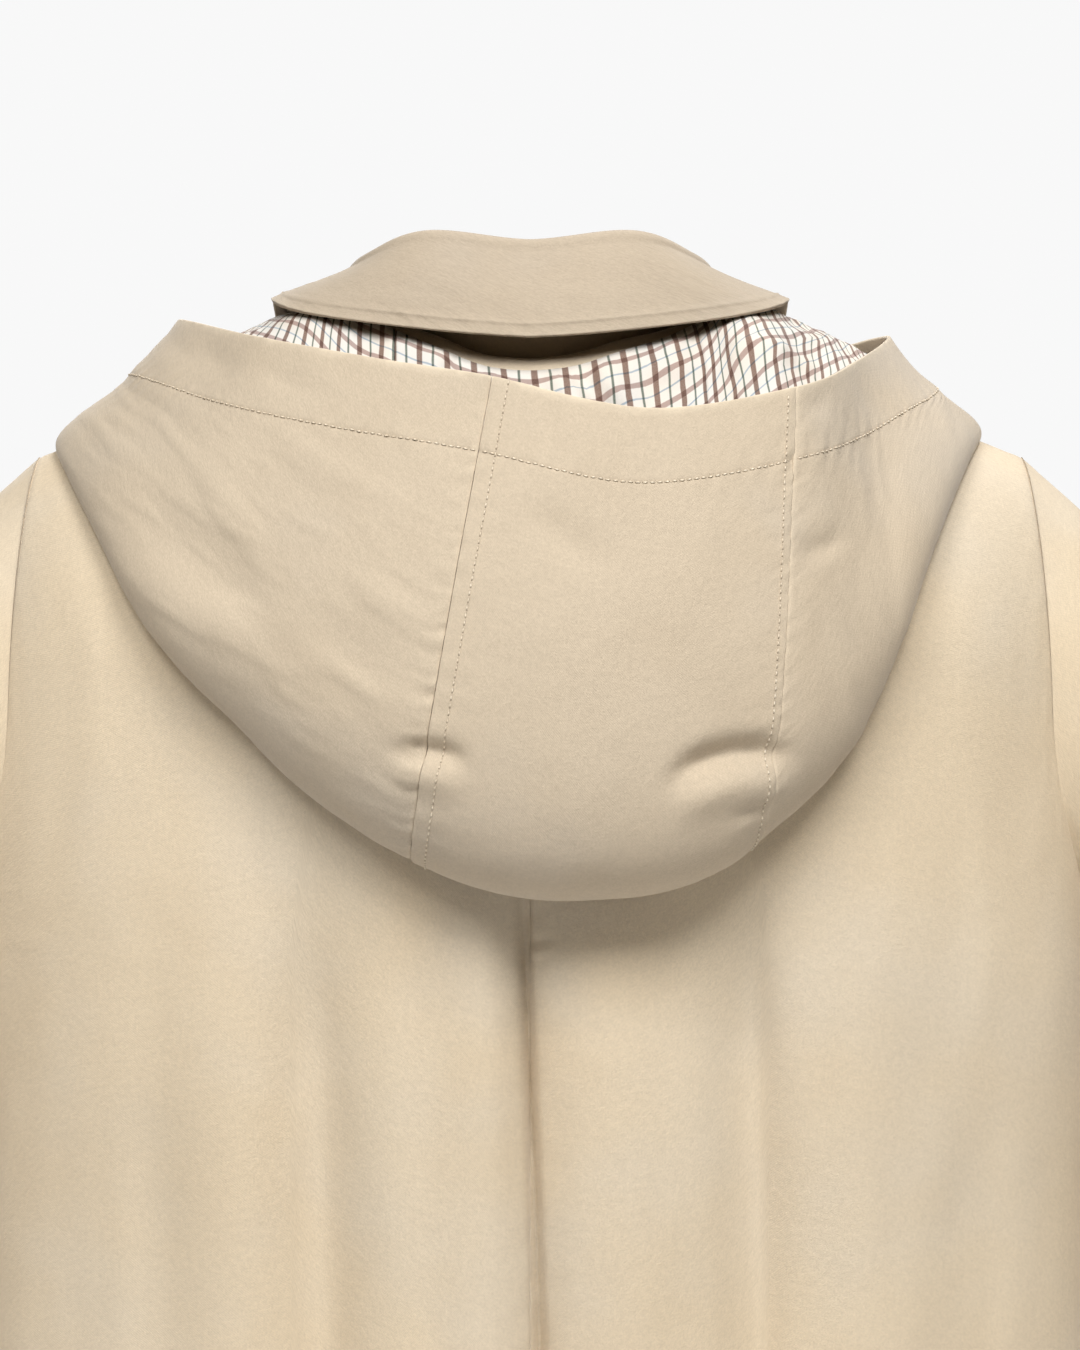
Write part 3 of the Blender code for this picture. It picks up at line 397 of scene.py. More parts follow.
# Soft unevenness that every cloth has: a height and a size across and down, turned by lean in
# degrees. The share of sharp makes its hollows into creases, and it is there between two
# distances across.
UNEVEN = "height across down lean sharp x_from x_to seed"
HOOD_UNEVENNESS = table(
    UNEVEN,
    (0.0016, 0.060, 0.026, 38, 0.5, 0.045, 0.30, 3),
    (0.0006, 0.030, 0.011, 34, 0.5, 0.045, 0.30, 4),
    (0.0010, 0.034, 0.070, 10, 0.3, -0.125, 0.045, 5),
    (0.0003, 0.014, 0.020, 20, 0.4, -0.125, 0.045, 6),
    (0.0012, 0.022, 0.060, -12, 0.5, -0.30, -0.125, 7),
    (0.0005, 0.010, 0.028, -16, 0.5, -0.30, -0.125, 8),
)
BACK_UNEVENNESS = table(
    UNEVEN,
    (0.0016, 0.036, 0.240, 2, 0.3, -0.40, 0.40, 11),
    (0.0005, 0.020, 0.080, 6, 0.3, -0.40, 0.40, 12),
    (0.0002, 0.012, 0.012, 0, 0.3, -0.40, 0.40, 13),
)
SLEEVE_UNEVENNESS = table(
    UNEVEN,
    (0.0020, 0.045, 0.080, 15, 0.4, -9.0, 9.0, 21),
    (0.0004, 0.018, 0.022, 0, 0.3, -9.0, 9.0, 22),
)
COLLAR_UNEVENNESS = table(
    UNEVEN,
    (0.0007, 0.070, 0.030, 0, 0.2, -9.0, 9.0, 31),
    (0.0002, 0.014, 0.012, 0, 0.3, -9.0, 9.0, 32),
)
LINING_UNEVENNESS = table(
    UNEVEN,
    (0.0034, 0.034, 0.030, 30, 0.3, -0.40, 0.40, 41),
    (0.0014, 0.014, 0.018, -20, 0.5, -0.40, 0.40, 42),
)

# How the hood's neck edge rises along the collar's stand before it falls back, and how much closer
# to the shoulders than in its solid its fold (press) and the middle of its walls (sink) lie, by
# the section of its table
HOOD_RIDGE = table(
    "station height press sink",
    (0.0, 0.0, 0.0, 0.0),
    (2.0, 0.0, 0.0010, 0.0015),
    (3.0, 0.0, 0.0042, 0.0065),
    (3.9, 0.0040, 0.0050, 0.008),
    (4.4, 0.0072, 0.0062, 0.0065),
    (5.0, 0.0110, 0.0085, 0.0035),
    (5.5, 0.0140, 0.0080, 0.001),
    (6.0, 0.0155, 0.0050, 0.0),
    (6.3, 0.0145, 0.0, 0.0),
    (6.7, 0.0082, 0.0, 0.0),
    (7.05, 0.0080, 0.0, 0.0),
    (7.4, 0.0122, 0.0, 0.0),
    (7.8, 0.0122, 0.0006, 0.0),
    (8.2, 0.0100, 0.0050, 0.0),
    (8.7, 0.0062, 0.0070, 0.0015),
    (9.2, 0.0022, 0.0066, 0.0045),
    (10.0, 0.0, 0.0042, 0.0065),
    (11.0, 0.0, 0.0010, 0.0015),
    (13.0, 0.0, 0.0, 0.0),
)
RIDGE_RISE = 0.0040
RIDGE_FALL = 0.055
PRESS_REACH = 0.040
FOLD_SOFTNESS = 1
# The rows above the fold from which the direction towards the body is taken, and a point in there
BESIDE_FOLD = (2, 8, 14)
IN_THE_BODY = (0.0, 0.0, -0.30)

# Folds of the lining beside the neck: where they dip, how wide and how deep
LINING_FOLDS = table(
    "x width depth slant",
    (0.0285, 0.0055, 0.0060, 0.25),
    (-0.0200, 0.0050, 0.0055, -0.45),
    (0.0700, 0.0060, 0.0030, 0.30),
    (-0.0750, 0.0060, 0.0026, -0.30),
    (-0.1150, 0.0070, 0.0026, -0.20),
)

# The lining's first row, the share of its side parts' columns that are left out at the front, how
# far from the hood's fold it still lies closer to the shell, how far it goes under the hood's hem,
# and how far it stands off the shell
LINING_TOP_ROW = 9
LINING_FRONT_SHARE = 0.30
LINING_CLOSE = 0.040
LINING_UNDER_HEM = 0.003
LINING_LOOSE = 0.0022
# Where it lies close under the tip of the collar's leaf: the place across, and how wide
UNDER_TIP = (0.106, 0.022)

# What each piece was cut to: width and length of the cloth, and its flat area
Cut = namedtuple("Cut", "width length area")

# Zip: the tapes' rows and columns, and the teeth, which start below the slider. A tooth's outline
# is seen from the front: along it from its grip to its tip, and across it.
TAPE_ROWS = 130
TAPE_COLUMNS = 8
TEETH_START = 0.010
TOOTH_OUTLINE = (
    (-0.5, -0.34), (-0.5, 0.34), (-0.2, 0.5), (0.3, 0.5),
    (0.5, 0.2), (0.5, -0.2), (0.3, -0.5), (-0.2, -0.5),
)
# Its rings, from its front to its back: where each is, and how large
TOOTH_RINGS = ((0.5, 0.8), (0.3, 1.0), (-0.3, 1.0), (-0.5, 0.8))
TOOTH_SLIMNESS = 0.86
TOOTH_PITCH = 0.0024
TOOTH_WIDTH = 0.0013
TOOTH_DEPTH = 0.0022
TOOTH_LENGTH = 0.0030
TOOTH_OVERLAP = 0.0010
TEETH_END = 0.012

# Twill: how far apart its ribs lie, how high its relief is, the features to a metre of each of its
# noises, and what the ribs and noises add to the relief. The hood and the collar get painted shade:
# their colour is multiplied towards a grey by the share given for each, which makes them darker.
TWILL_PITCH = 0.0011
TWILL_RELIEF = 0.00010
HOOD_AND_COLLAR_PAINTED_SHADE = {"hood": 0.66, "collar": 0.95}
PAINTED_SHADE_COLOUR = (0.70, 0.70, 0.735)
TWILL_SCALES = {
    "drift": 160.0, "threads": 1100.0, "slubs": 330.0, "wrinkles": 95.0,
    "patches": 9.0, "fading": 5.5, "wear": 90.0,
}
TWILL_HEIGHTS = {"wale": 0.25, "threads": 1.0, "slubs": 1.8, "wrinkles": 2.4}

# The lining's check: how far apart its brown, dark green, taupe and pale blue stripes lie, where
# the first of each is, how wide they are and how their edges fade. Then its weave and the ribs
# of the tapes.
STRIPES = table(
    "runs period offset width colour",
    ("across", 0.0142, 0.0, 0.0030, (0.27, 0.17, 0.135)),
    ("across", 0.0142, 0.0071, 0.0012, (0.16, 0.21, 0.18)),
    ("down", 0.0158, 0.0, 0.0031, (0.52, 0.40, 0.385)),
    ("down", 0.0158, 0.0079, 0.0010, (0.46, 0.58, 0.72)),
)
STRIPE_EDGE = 0.00025
LINING_PITCH = 0.0007
LINING_RELIEF = 0.00005
TAPE_RIBS = 0.0010

# Colours, as linear light
TWILL_COLOUR = (0.640, 0.532, 0.385)
TWILL_DARK = (0.570, 0.462, 0.322)
TWILL_FADED = (0.600, 0.530, 0.430)
TWILL_WORN = (0.72, 0.615, 0.465)
THREAD_COLOUR = (0.860, 0.770, 0.620)
THREAD_SHADE = (0.74, 0.63, 0.48)
# The thread's painted shade where it dips into the cloth
THREAD_PAINTED_SHADE = (0.30, 0.23, 0.155)
LINING_GROUND = (0.690, 0.632, 0.560)
LINING_GROUND_COOL = (0.650, 0.622, 0.578)
TAPE_COLOUR = (0.50, 0.41, 0.29)
TAPE_DARK = (0.40, 0.32, 0.22)
METAL_COLOUR = (0.62, 0.57, 0.47)
METAL_DULL = (0.46, 0.41, 0.33)
FLOOR_COLOUR = (0.80, 0.80, 0.80)
FLOOR_SHADE = (0.77, 0.77, 0.77)
FLOOR_GLOW = (0.98, 0.98, 1.0, 1.0)
FLOOR_GLOW_STRENGTH = 0.6

# Stage: the camera stands behind the jacket, a little above its shoulders
VIEW_AZIMUTH = 180.0
VIEW_ELEVATION = 4.0
VIEW_TARGET = (-0.0045, 0.150, -0.152)
VIEW_DISTANCE = 2.5
VIEW_HEIGHT = 0.6075
SENSOR = 36.0
BACKGROUND = 0.94
AMBIENT = 0.075
AMBIENT_COLOUR = (1.0, 0.80, 0.50)
FLOOR_DROP = 1.45
FLOOR_RADIUS = 7.0
FLOOR_SIDES = 96
LIGHTS = table(
    "name azimuth elevation distance size power",
    ("key", 199, 50, 4.0, 1.7, 146.0),
    ("second_key", 157, 46, 4.0, 1.7, 104.0),
    ("front_key", -25, 45, 4.0, 2.2, 90.0),
    ("front_fill", 10, 8, 4.0, 2.2, 60.0),
)


def smooth(rows, key, column, at):
    """The column's value at the key, on a smooth curve through the table's rows."""
    keys = np.array([getattr(row, key) for row in rows], float)
    values = np.array([getattr(row, column) for row in rows], float)
    return smooth_between(keys, values, at)


def smooth_between(keys, values, at):
    """A cubic through values, whose first axis runs along keys, read at each of at."""
    at = np.clip(at, keys[0], keys[-1])
    slopes = np.gradient(values, keys, axis=0)
    low = np.clip(np.searchsorted(keys, at, side="right") - 1, 0, len(keys) - 2)
    step = keys[low + 1] - keys[low]
    t = (at - keys[low]) / step
    more = (1,) * (values.ndim - 1)
    t, step = t.reshape(t.shape + more), step.reshape(step.shape + more)
    return (
        (1 + 2 * t) * (1 - t) ** 2 * values[low]
        + t * (1 - t) ** 2 * step * slopes[low]
        + t * t * (3 - 2 * t) * values[low + 1]
        + t * t * (t - 1) * step * slopes[low + 1]
    )


def ease(t):
    t = np.clip(t, 0.0, 1.0)
    return t * t * (3 - 2 * t)


def unit(vectors):
    return vectors / np.maximum(np.linalg.norm(vectors, axis=-1, keepdims=True), 1e-12)


def run_along(points, axis=0):
    """How far every point lies along its line, from the line's first point."""
    run = np.cumsum(np.linalg.norm(np.diff(points, axis=axis), axis=-1), axis=axis)
    return np.concatenate([np.zeros_like(run.take([0], axis)), run], axis=axis)


# ---------------------------------------------------------------- the body's surface


def shoulder_drop(x):
    """How far the shoulder line lies below the neck points, x out from the middle."""
    reach = np.hypot(x, SHOULDER_SOFTNESS) - math.hypot(NECK_HALF, SHOULDER_SOFTNESS)
    return SHOULDER_SLOPE * reach


def round_height(x, is_back):
    """The height over which the shoulder line rounds down into the back or the front."""
    out = ease(np.abs(x) / SHOULDER_HALF)
    back = ROUND_BACK[0] + (ROUND_BACK[1] - ROUND_BACK[0]) * out
    front = ROUND_FRONT[0] + (ROUND_FRONT[1] - ROUND_FRONT[0]) * out
    return np.where(is_back, back, front)


def depth_at(drop, is_back):
    return np.where(
        is_back, smooth(TORSO, "drop", "back", drop), smooth(TORSO, "drop", "front", drop)
    )


def fold_height(x, drop, is_back):
    """How far the folds lift the cloth off the body's plain surface."""
    height = np.zeros(np.shape(x))
    for fold in FOLDS:
        down = np.clip((drop - fold.start) / (HEM_DROP - fold.start), 0.0, 1.0)
        across = x - (fold.across_top + (fold.across_hem - fold.across_top) * down)
        width = np.where(across > 0, fold.left_width, fold.right_width)
        grown = ease((drop - fold.start) / (fold.full - fold.start))
        shown = np.where(is_back == (fold.face == "back"), grown, 0.0)
        height = height + fold.height * shown * np.exp(-((across / width) ** 2))
    return height


def torso(turn, drop):
    """The body's surface: turn goes from the centre back (0) over the left side to the front."""
    sine, cosine = np.sin(turn), np.cos(turn)
    is_back = cosine > 0
    half_width = smooth(TORSO, "drop", "half_width", drop)
    depth = depth_at(drop, is_back)
    out_x = np.sign(sine) * np.abs(sine) ** ROUNDNESS
    out_y = np.sign(cosine) * np.abs(cosine) ** ROUNDNESS
    x = half_width * out_x
    below = np.clip((drop - shoulder_drop(x)) / round_height(x, is_back), 0.0, 1.0)
    rounding = np.sqrt(1 - (1 - below) ** 2)
    y = SHOULDER_Y + (depth * out_y - SHOULDER_Y) * rounding
    lift = fold_height(x, drop, is_back)
    steep = 2 / ROUNDNESS - 1
    lean_x = np.sign(out_x) * np.abs(out_x) ** steep / half_width
    lean_y = np.sign(out_y) * np.abs(out_y) ** steep / depth
    flat = np.hypot(lean_x, lean_y)
    return np.stack([x + lift * lean_x / flat, y + lift * lean_y / flat, -drop], axis=-1)


def turn_of(x, drop):
    """The turn, from the centre line, at which the body's surface is x out from the middle."""
    share = np.clip(np.abs(x) / smooth(TORSO, "drop", "half_width", drop), 0.0, 1.0)
    return np.arcsin(share ** (1 / ROUNDNESS))


def lap_of(x, drop, is_back):
    """The lap round the shoulder line of a point at that drop: 0 on it, 1 where it hangs."""
    below = (drop - shoulder_drop(x)) / round_height(x, is_back)
    near = np.arccos(np.clip(1 - below, -1.0, 1.0)) / (math.pi / 2)
    lap = np.where(below < 1, near, 1 + (below - 1) / (math.pi / 2))
    return np.where(is_back, lap, -lap)


def over_torso(x, lap):
    """The body's plain surface again, by x and the lap round the shoulder line, back positive."""
    is_back = lap >= 0
    size = np.abs(lap)
    below = np.where(
        size < 1, 1 - np.cos(np.minimum(size, 1) * math.pi / 2), 1 + (size - 1) * math.pi / 2
    )
    drop = shoulder_drop(x) + round_height(x, is_back) * below
    share = np.clip(np.abs(x) / smooth(TORSO, "drop", "half_width", drop), 0.0, 0.999)
    section = (1 - share ** (2 / ROUNDNESS)) ** (ROUNDNESS / 2)
    full = depth_at(drop, is_back) * section * np.where(is_back, 1, -1)
    rounding = np.sqrt(1 - (1 - np.minimum(below, 1)) ** 2)
    y = SHOULDER_Y + (full - SHOULDER_Y) * rounding
    return np.stack([x, y, -drop], axis=-1)


def over_torso_normal(x, lap):
    step_x, step_lap = 0.002, 0.01
    across = over_torso(x + step_x, lap) - over_torso(x - step_x, lap)
    down = over_torso(x, lap + step_lap) - over_torso(x, lap - step_lap)
    return unit(np.cross(across, down))


def neckline(angle):
    """The neckline, by the angle from the centre back towards the wearer's left."""
    x = NECK_HALF * np.sin(angle)
    is_back = np.cos(angle) > 0
    depth = np.where(is_back, NECK_DROP_BACK, NECK_DROP_FRONT)
    return x, depth * np.abs(np.cos(angle)), is_back


# ---------------------------------------------------------------- sheets as in the solids


def sewn_directions(sheets):
    """The outward direction at every point of the sheets, one and the same for all at a seam,
    and somewhat longer than 1 over a crease."""
    points = np.concatenate([sheet.reshape(-1, 3) for sheet in sheets])
    keys = np.round(points, 6) + 0.0
    _, index = np.unique(keys, axis=0, return_inverse=True)
    index = index.reshape(-1)
    total, size = np.zeros((index.max() + 1, 3)), np.zeros((index.max() + 1, 1))
    start = 0
    for sheet in sheets:
        rows, columns = sheet.shape[:2]
        number = np.arange(rows * columns).reshape(rows, columns) + start
        start += rows * columns
        a, b = number[:-1, :-1].ravel(), number[:-1, 1:].ravel()
        c, d = number[1:, 1:].ravel(), number[1:, :-1].ravel()
        facing = unit(np.cross(points[c] - points[a], points[b] - points[d]))
        for corner in (a, b, c, d):
            np.add.at(total, index[corner], facing)
            np.add.at(size, index[corner], 1.0)
    # Over a crease the wall reaches further, so that it stays as thick on both sides of it.
    sharpness = np.clip(np.linalg.norm(total, axis=-1, keepdims=True) / size, MITRE, 1)
    directions = (unit(total) / sharpness)[index]
    parts = np.split(directions, np.cumsum([s.shape[0] * s.shape[1] for s in sheets])[:-1])
    return [part.reshape(sheet.shape) for part, sheet in zip(parts, sheets)]


def inward(edge, next_line, directions):
    """The direction in the sheet that leads straight in from its edge."""
    into = next_line - edge
    across = unit(np.cross(directions, np.gradient(edge, axis=0)))
    return across * np.sign((across * into).sum(axis=-1, keepdims=True))


def drawn_in(sheet, out, first_row, last_row, first_column, last_column):
    """The sheet with each edge drawn in by its own distance, square to that edge."""
    moved = sheet.copy()
    moved[0] += inward(sheet[0], sheet[1], out[0]) * first_row
    moved[-1] += inward(sheet[-1], sheet[-2], out[-1]) * last_row
    moved[:, 0] += inward(sheet[:, 0], sheet[:, 1], out[:, 0]) * first_column
    moved[:, -1] += inward(sheet[:, -1], sheet[:, -2], out[:, -1]) * last_column
    return moved


def armhole_turn(share):
    """The turn of the armhole's edge from the shoulder (share 0) down to the underarm (1)."""
    middle_drop = (shoulder_drop(SHOULDER_HALF) + UNDERARM_DROP) / 2
    top = turn_of(SHOULDER_HALF, shoulder_drop(SHOULDER_HALF))
    middle = turn_of(ARMHOLE_HALF, middle_drop)
    upper = top + (middle - top) * ease(2 * share)
    level = math.cos(middle) ** ROUNDNESS * np.sin(np.pi * share)
    lower = np.arccos(np.clip(level, 0.0, 1.0) ** (1 / ROUNDNESS))
    return np.where(share < 0.5, upper, lower)


def hood_point(station, share):
    """The hood's sheet at a section of the table and a share of the way along that section:
    from its neck edge down the inner wall (0 to 0.5) and up the outer wall to its opening."""
    keys = np.arange(len(HOOD), dtype=float)

    def column(name):
        return smooth_between(keys, np.array([getattr(row, name) for row in HOOD], float), station)

    neck_angle = np.radians(column("neck_angle"))
    x, drop, is_back = neckline(neck_angle)
    neck_x = x * HOOD_NECK_SPREAD
    neck_lap = lap_of(x, drop, is_back) + HOOD_NECK_LAP * np.cos(neck_angle)
    fold_laps = [
        float(
            lap_of(row.fold_x, row.fold_drop + shoulder_drop(row.fold_x), abs(row.neck_angle) < 110)
        )
        for row in HOOD
    ]
    fold_lap = smooth_between(keys, np.array(fold_laps), station)
    fold_x, fold_lift = column("fold_x"), column("fold_lift")
    bridge, seat = column("bridge"), column("seat")

    reach = np.clip(share / 0.5, 0, 1)
    at_x = neck_x + (fold_x - neck_x) * reach
    at_lap = neck_lap + (fold_lap - neck_lap) * reach
    rise = np.clip((reach - 0.6) / 0.4, 0, 1) ** 2
    lift = seat + bridge * np.sin(np.pi * reach**0.6) + (fold_lift - seat) * rise
    inner = over_torso(at_x, at_lap) + over_torso_normal(at_x, at_lap) * lift[..., None]

    out = over_torso_normal(fold_x, fold_lap)
    fold = over_torso(fold_x, fold_lap) + out * fold_lift[..., None]
    edge = np.stack([column(name) for name in ("edge_x", "edge_y", "edge_z")], axis=-1)
    swell, belly = column("swell")[..., None], column("belly")[..., None]
    t = np.clip((share - 0.5) / 0.5, 0, 1)[..., None]
    low = fold + out * swell * 1.2
    high = edge + (fold - edge) * 0.4 + out * (belly + swell * 0.3)
    outer = (
        (1 - t) ** 3 * fold + 3 * (1 - t) ** 2 * t * low + 3 * (1 - t) * t * t * high + t**3 * edge
    )
    return np.where((share < 0.5)[..., None], inner, outer)


def front_line(x, drop):
    """The front's surface beside its centre edge, and the direction out of it."""
    side = np.where(x < 0, -1.0, 1.0)
    point = torso(side * (math.pi - turn_of(x, drop)), drop)
    step = 0.002
    below = torso(side * (math.pi - turn_of(x, drop + step)), drop + step)
    down = unit(below - point)
    out = unit(np.cross(down, np.array([1.0, 0.0, 0.0])))
    return point, out, down


# ---------------------------------------------------------------- fine sheets


Cloth = namedtuple("Cloth", "points out across down")


def spaced(line, start, stop, step, near_start=(), near_stop=(), near=()):
    """The parameters from start to stop at which the points of a line lie a step apart, and
    more of them at given distances from its start and its stop."""
    fine = np.linspace(start, stop, LINE_SAMPLES)
    run = run_along(line(fine))
    ends = np.array([0.0, run[-1]])
    extra = np.concatenate([near_start, run[-1] - np.array(near_stop, float), near]).astype(float)
    even = np.linspace(0, run[-1], max(2, round(run[-1] / step)) + 1)[1:-1]
    fixed = np.concatenate([ends, extra])
    apart = np.abs(even[:, None] - fixed[None]).min(axis=1)
    at = np.unique(np.concatenate([fixed, even[apart > CROWDING * step]]))
    return np.interp(at, run, fine)


def measured(sheet, out):
    """The sheet with the distance of every point along its row and down its column."""
    return Cloth(sheet, out, run_along(sheet, 1), run_along(sheet, 0))


Edges = namedtuple("Edges", "start stop top bottom")


def edges(cloth):
    """How far every point lies from the sheet's first and last column and first and last row."""
    across, down = cloth.across, cloth.down
    return Edges(across, across[:, -1:] - across, down, down[-1:] - down)


def bell(distance, width):
    return np.exp(-((distance / width) ** 2))


def groove(distance, depth=SEAM_GROOVE):
    """How a seam draws the cloth in beside it."""
    return -depth * bell(distance, SEAM_WIDTH)


def dent(distance):
    """How a row of stitches presses the cloth in."""
    return -STITCH_DENT * bell(distance, STITCH_DENT_WIDTH)


def step_down(distance, height=HEM_STEP):
    """A turned hem or a seam allowance under the cloth, which ends at distance 0."""
    return height * (1 - ease((distance + STEP_OVER) / (2 * STEP_OVER)))


def puckers(along, distance, seed, height):
    """Short ripples square to a seam, which run out away from it."""
    dice = np.random.default_rng(seed)
    wave = np.zeros(np.shape(along))
    for _ in range(PUCKER_WAVES):
        pitch = PUCKER_PITCH * dice.uniform(0.55, 1.9)
        slant = dice.uniform(-0.5, 0.5)
        wave += np.sin(2 * math.pi * (along + slant * distance) / pitch + dice.uniform(0, 6.3))
    return height * wave / 2 * np.exp(-np.abs(distance) / PUCKER_REACH)


def pinches(along, distance, seed):
    """Short slanting creases that run out from a seam, each with its own length and depth."""
    dice = np.random.default_rng(seed)
    height, place = np.zeros(np.shape(along)), 0.0
    while place < along.max():
        place += dice.uniform(*PINCH_APART)
        size, length = dice.uniform(0.3, 1.0), dice.uniform(*PINCH_LENGTH)
        aside = along - place + dice.uniform(0.10, 0.45) * distance
        kept = 1 - ease(distance / length)
        height -= PINCH_DEPTH * size * kept * bell(aside, PINCH_WIDTH)
    return height


def hills(x, y, seed):
    """Smooth random heights of about -1 to 1, a hill or hollow to every unit."""
    turn = np.random.default_rng(seed).uniform(0, 2 * math.pi, (64, 64))
    column, row = np.floor(x).astype(int), np.floor(y).astype(int)
    x, y = x - column, y - row

    def corner(i, j):
        angle = turn[(row + j) % 64, (column + i) % 64]
        return np.cos(angle) * (x - i) + np.sin(angle) * (y - j)

    upper = corner(0, 0) * (1 - ease(x)) + corner(1, 0) * ease(x)
    lower = corner(0, 1) * (1 - ease(x)) + corner(1, 1) * ease(x)
    return 1.6 * (upper * (1 - ease(y)) + lower * ease(y))


def uneven(across, down, waves):
    """The height of a table's unevenness."""
    height = np.zeros(np.shape(across))
    for row in waves:
        lean = math.radians(row.lean)
        u = (math.cos(lean) * across + math.sin(lean) * down) / row.across
        v = (math.cos(lean) * down - math.sin(lean) * across) / row.down
        wave = hills(u, v, row.seed) + 0.5 * hills(1.9 * u + 7, 1.9 * v + 3, row.seed + 50)
        crease = 0.45 - np.abs(wave)
        there = ease((across - row.x_from) / 0.03 + 0.5) * ease((row.x_to - across) / 0.03 + 0.5)
        height += row.height * there * (wave * (1 - row.sharp) - crease * row.sharp)
    return height


def creased(points, creases):
    """The height of the creases of a table at points seen from behind."""
    height = np.zeros(points.shape[:-1])
    for row in creases:
        run_x, run_z = row.x_to - row.x_from, row.z_to - row.z_from
        length = math.hypot(run_x, run_z)
        x, z = points[..., 0] - row.x_from, points[..., 2] - row.z_from
        along = (x * run_x + z * run_z) / length**2
        aside = (z * run_x - x * run_z) / length - row.bow * 4 * along * (1 - along)
        width = np.where(aside > 0, row.left_width, row.right_width)
        kept = ease(along / row.fade) * ease((1 - along) / row.fade)
        height += row.height * kept * bell(aside, width)
    return height


def in_valleys(points, valleys):
    """The height of the folds of a table at points of the back."""
    height = np.zeros(points.shape[:-1])
    for row in valleys:
        share = (-points[..., 2] - row.drop_from) / (row.drop_to - row.drop_from)
        aside = points[..., 0] - row.x_from - (row.x_to - row.x_from) * np.clip(share, 0, 1)
        width = np.where(aside > 0, row.left_width, row.right_width)
        height += row.height * ease(share * 2.5) * bell(aside, width)
    return height


def faces_between(number, closed=False):
    """The faces between the rows of a grid of point numbers, whose rows may be rings."""
    if closed:
        number = np.concatenate([number, number[:, :1]], axis=1)
    corners = (number[:-1, :-1], number[:-1, 1:], number[1:, 1:], number[1:, :-1])
    return np.stack(corners, axis=-1).reshape(-1, 4)


def mesh_object(name, points, faces, uvs=None, finish=None, **values):
    """A mesh piece with smooth shading, and its cloth coordinates in metres as its UV map."""
    mesh = bpy.data.meshes.new(name)
    mesh.from_pydata(points.tolist(), [], faces.tolist() if hasattr(faces, "tolist") else faces)
    if uvs is not None:
        corners = np.empty(len(mesh.loops), dtype=np.int32)
        mesh.loops.foreach_get("vertex_index", corners)
        layer = mesh.uv_layers.new(name="cloth")
        layer.data.foreach_set("uv", uvs[corners].astype(np.float32).ravel())
    for word, numbers in values.items():
        mesh.attributes.new(word, "FLOAT", "POINT").data.foreach_set("value", numbers.ravel())
    mesh.shade_smooth()
    mesh.materials.append(finish)
    made = bpy.data.objects.new(name, mesh)
    bpy.context.scene.collection.objects.link(made)
    return made


def cloth_wall(name, cloth, thickness, finish, shape, relief, worn, anchor=(0, 0), free=""):
    """A closed wall round a fine sheet, and its outer surface. The shape moves both its sides,
    and the relief only the outer one. At its free edges both sides come nearer to each other.
    The cloth's coordinates are counted from the anchor's row and column."""
    rows, columns = cloth.points.shape[:2]
    half = np.full((rows, columns), thickness / 2)
    places = {"top": np.s_[0], "bottom": np.s_[-1], "start": np.s_[:, 0], "stop": np.s_[:, -1]}
    for edge in free.split():
        half[places[edge]] = thickness / 2 * EDGE_ROUNDING
    outer = cloth.points + cloth.out * (shape + relief + half)[..., None]
    inner = cloth.points + cloth.out * (shape + np.minimum(relief, 0.0) - half)[..., None]
    count = rows * columns
    points = np.concatenate([outer.reshape(-1, 3), inner.reshape(-1, 3)])
    number = np.arange(count).reshape(rows, columns)
    quads = faces_between(number)
    rim = np.concatenate([number[0], number[1:, -1], number[-1, -2::-1], number[-2:0:-1, 0]])
    after = np.roll(rim, -1)
    band = np.stack([after, rim, rim + count, after + count], axis=-1)
    faces = np.concatenate([quads, (quads + count)[:, ::-1], band])
    facing = np.cross(outer[1:, 1:] - outer[:-1, :-1], outer[1:, :-1] - outer[:-1, 1:])
    if (facing * cloth.out[:-1, :-1]).sum() < 0:
        faces = faces[:, ::-1]
    row, column = anchor
    across = cloth.across - cloth.across[:, [column]]
    down = cloth.down - cloth.down[[row]]
    uv = np.stack([across, down], axis=-1).reshape(-1, 2)
    worn = np.broadcast_to(worn, (rows, columns)).ravel()
    worn = np.concatenate([worn, 0.3 * worn])
    # Painted shade: how far this piece's colour is darkened, some for the hood and the collar
    nap = np.full(2 * count, HOOD_AND_COLLAR_PAINTED_SHADE.get(name.split("_")[0], 0.0))
    uvs = np.concatenate([uv, uv])
    return mesh_object(name, points, faces, uvs, finish, tint=worn, nap=nap), outer


# ---------------------------------------------------------------- stitches


def line_across(cloth, surface, distance, from_end=False):
    """The line on the surface at that distance from its first or last column, row by row, and
    the direction out of it."""
    found = []
    for run, points, out in zip(cloth.across, surface, cloth.out):
        at = run[-1] - distance if from_end else distance
        found.append([np.interp(at, run, values) for values in (*points.T, *out.T)])
    found = np.array(found)
    return found[:, :3], unit(found[:, 3:])


def line_down(cloth, surface, distance, from_end=False):
    """The same for the distance from its first or last row, column by column."""
    points, out = cloth.points.swapaxes(0, 1), cloth.out.swapaxes(0, 1)
    turned = Cloth(points, out, cloth.down.T, cloth.across.T)
    return line_across(turned, surface.swapaxes(0, 1), distance, from_end)


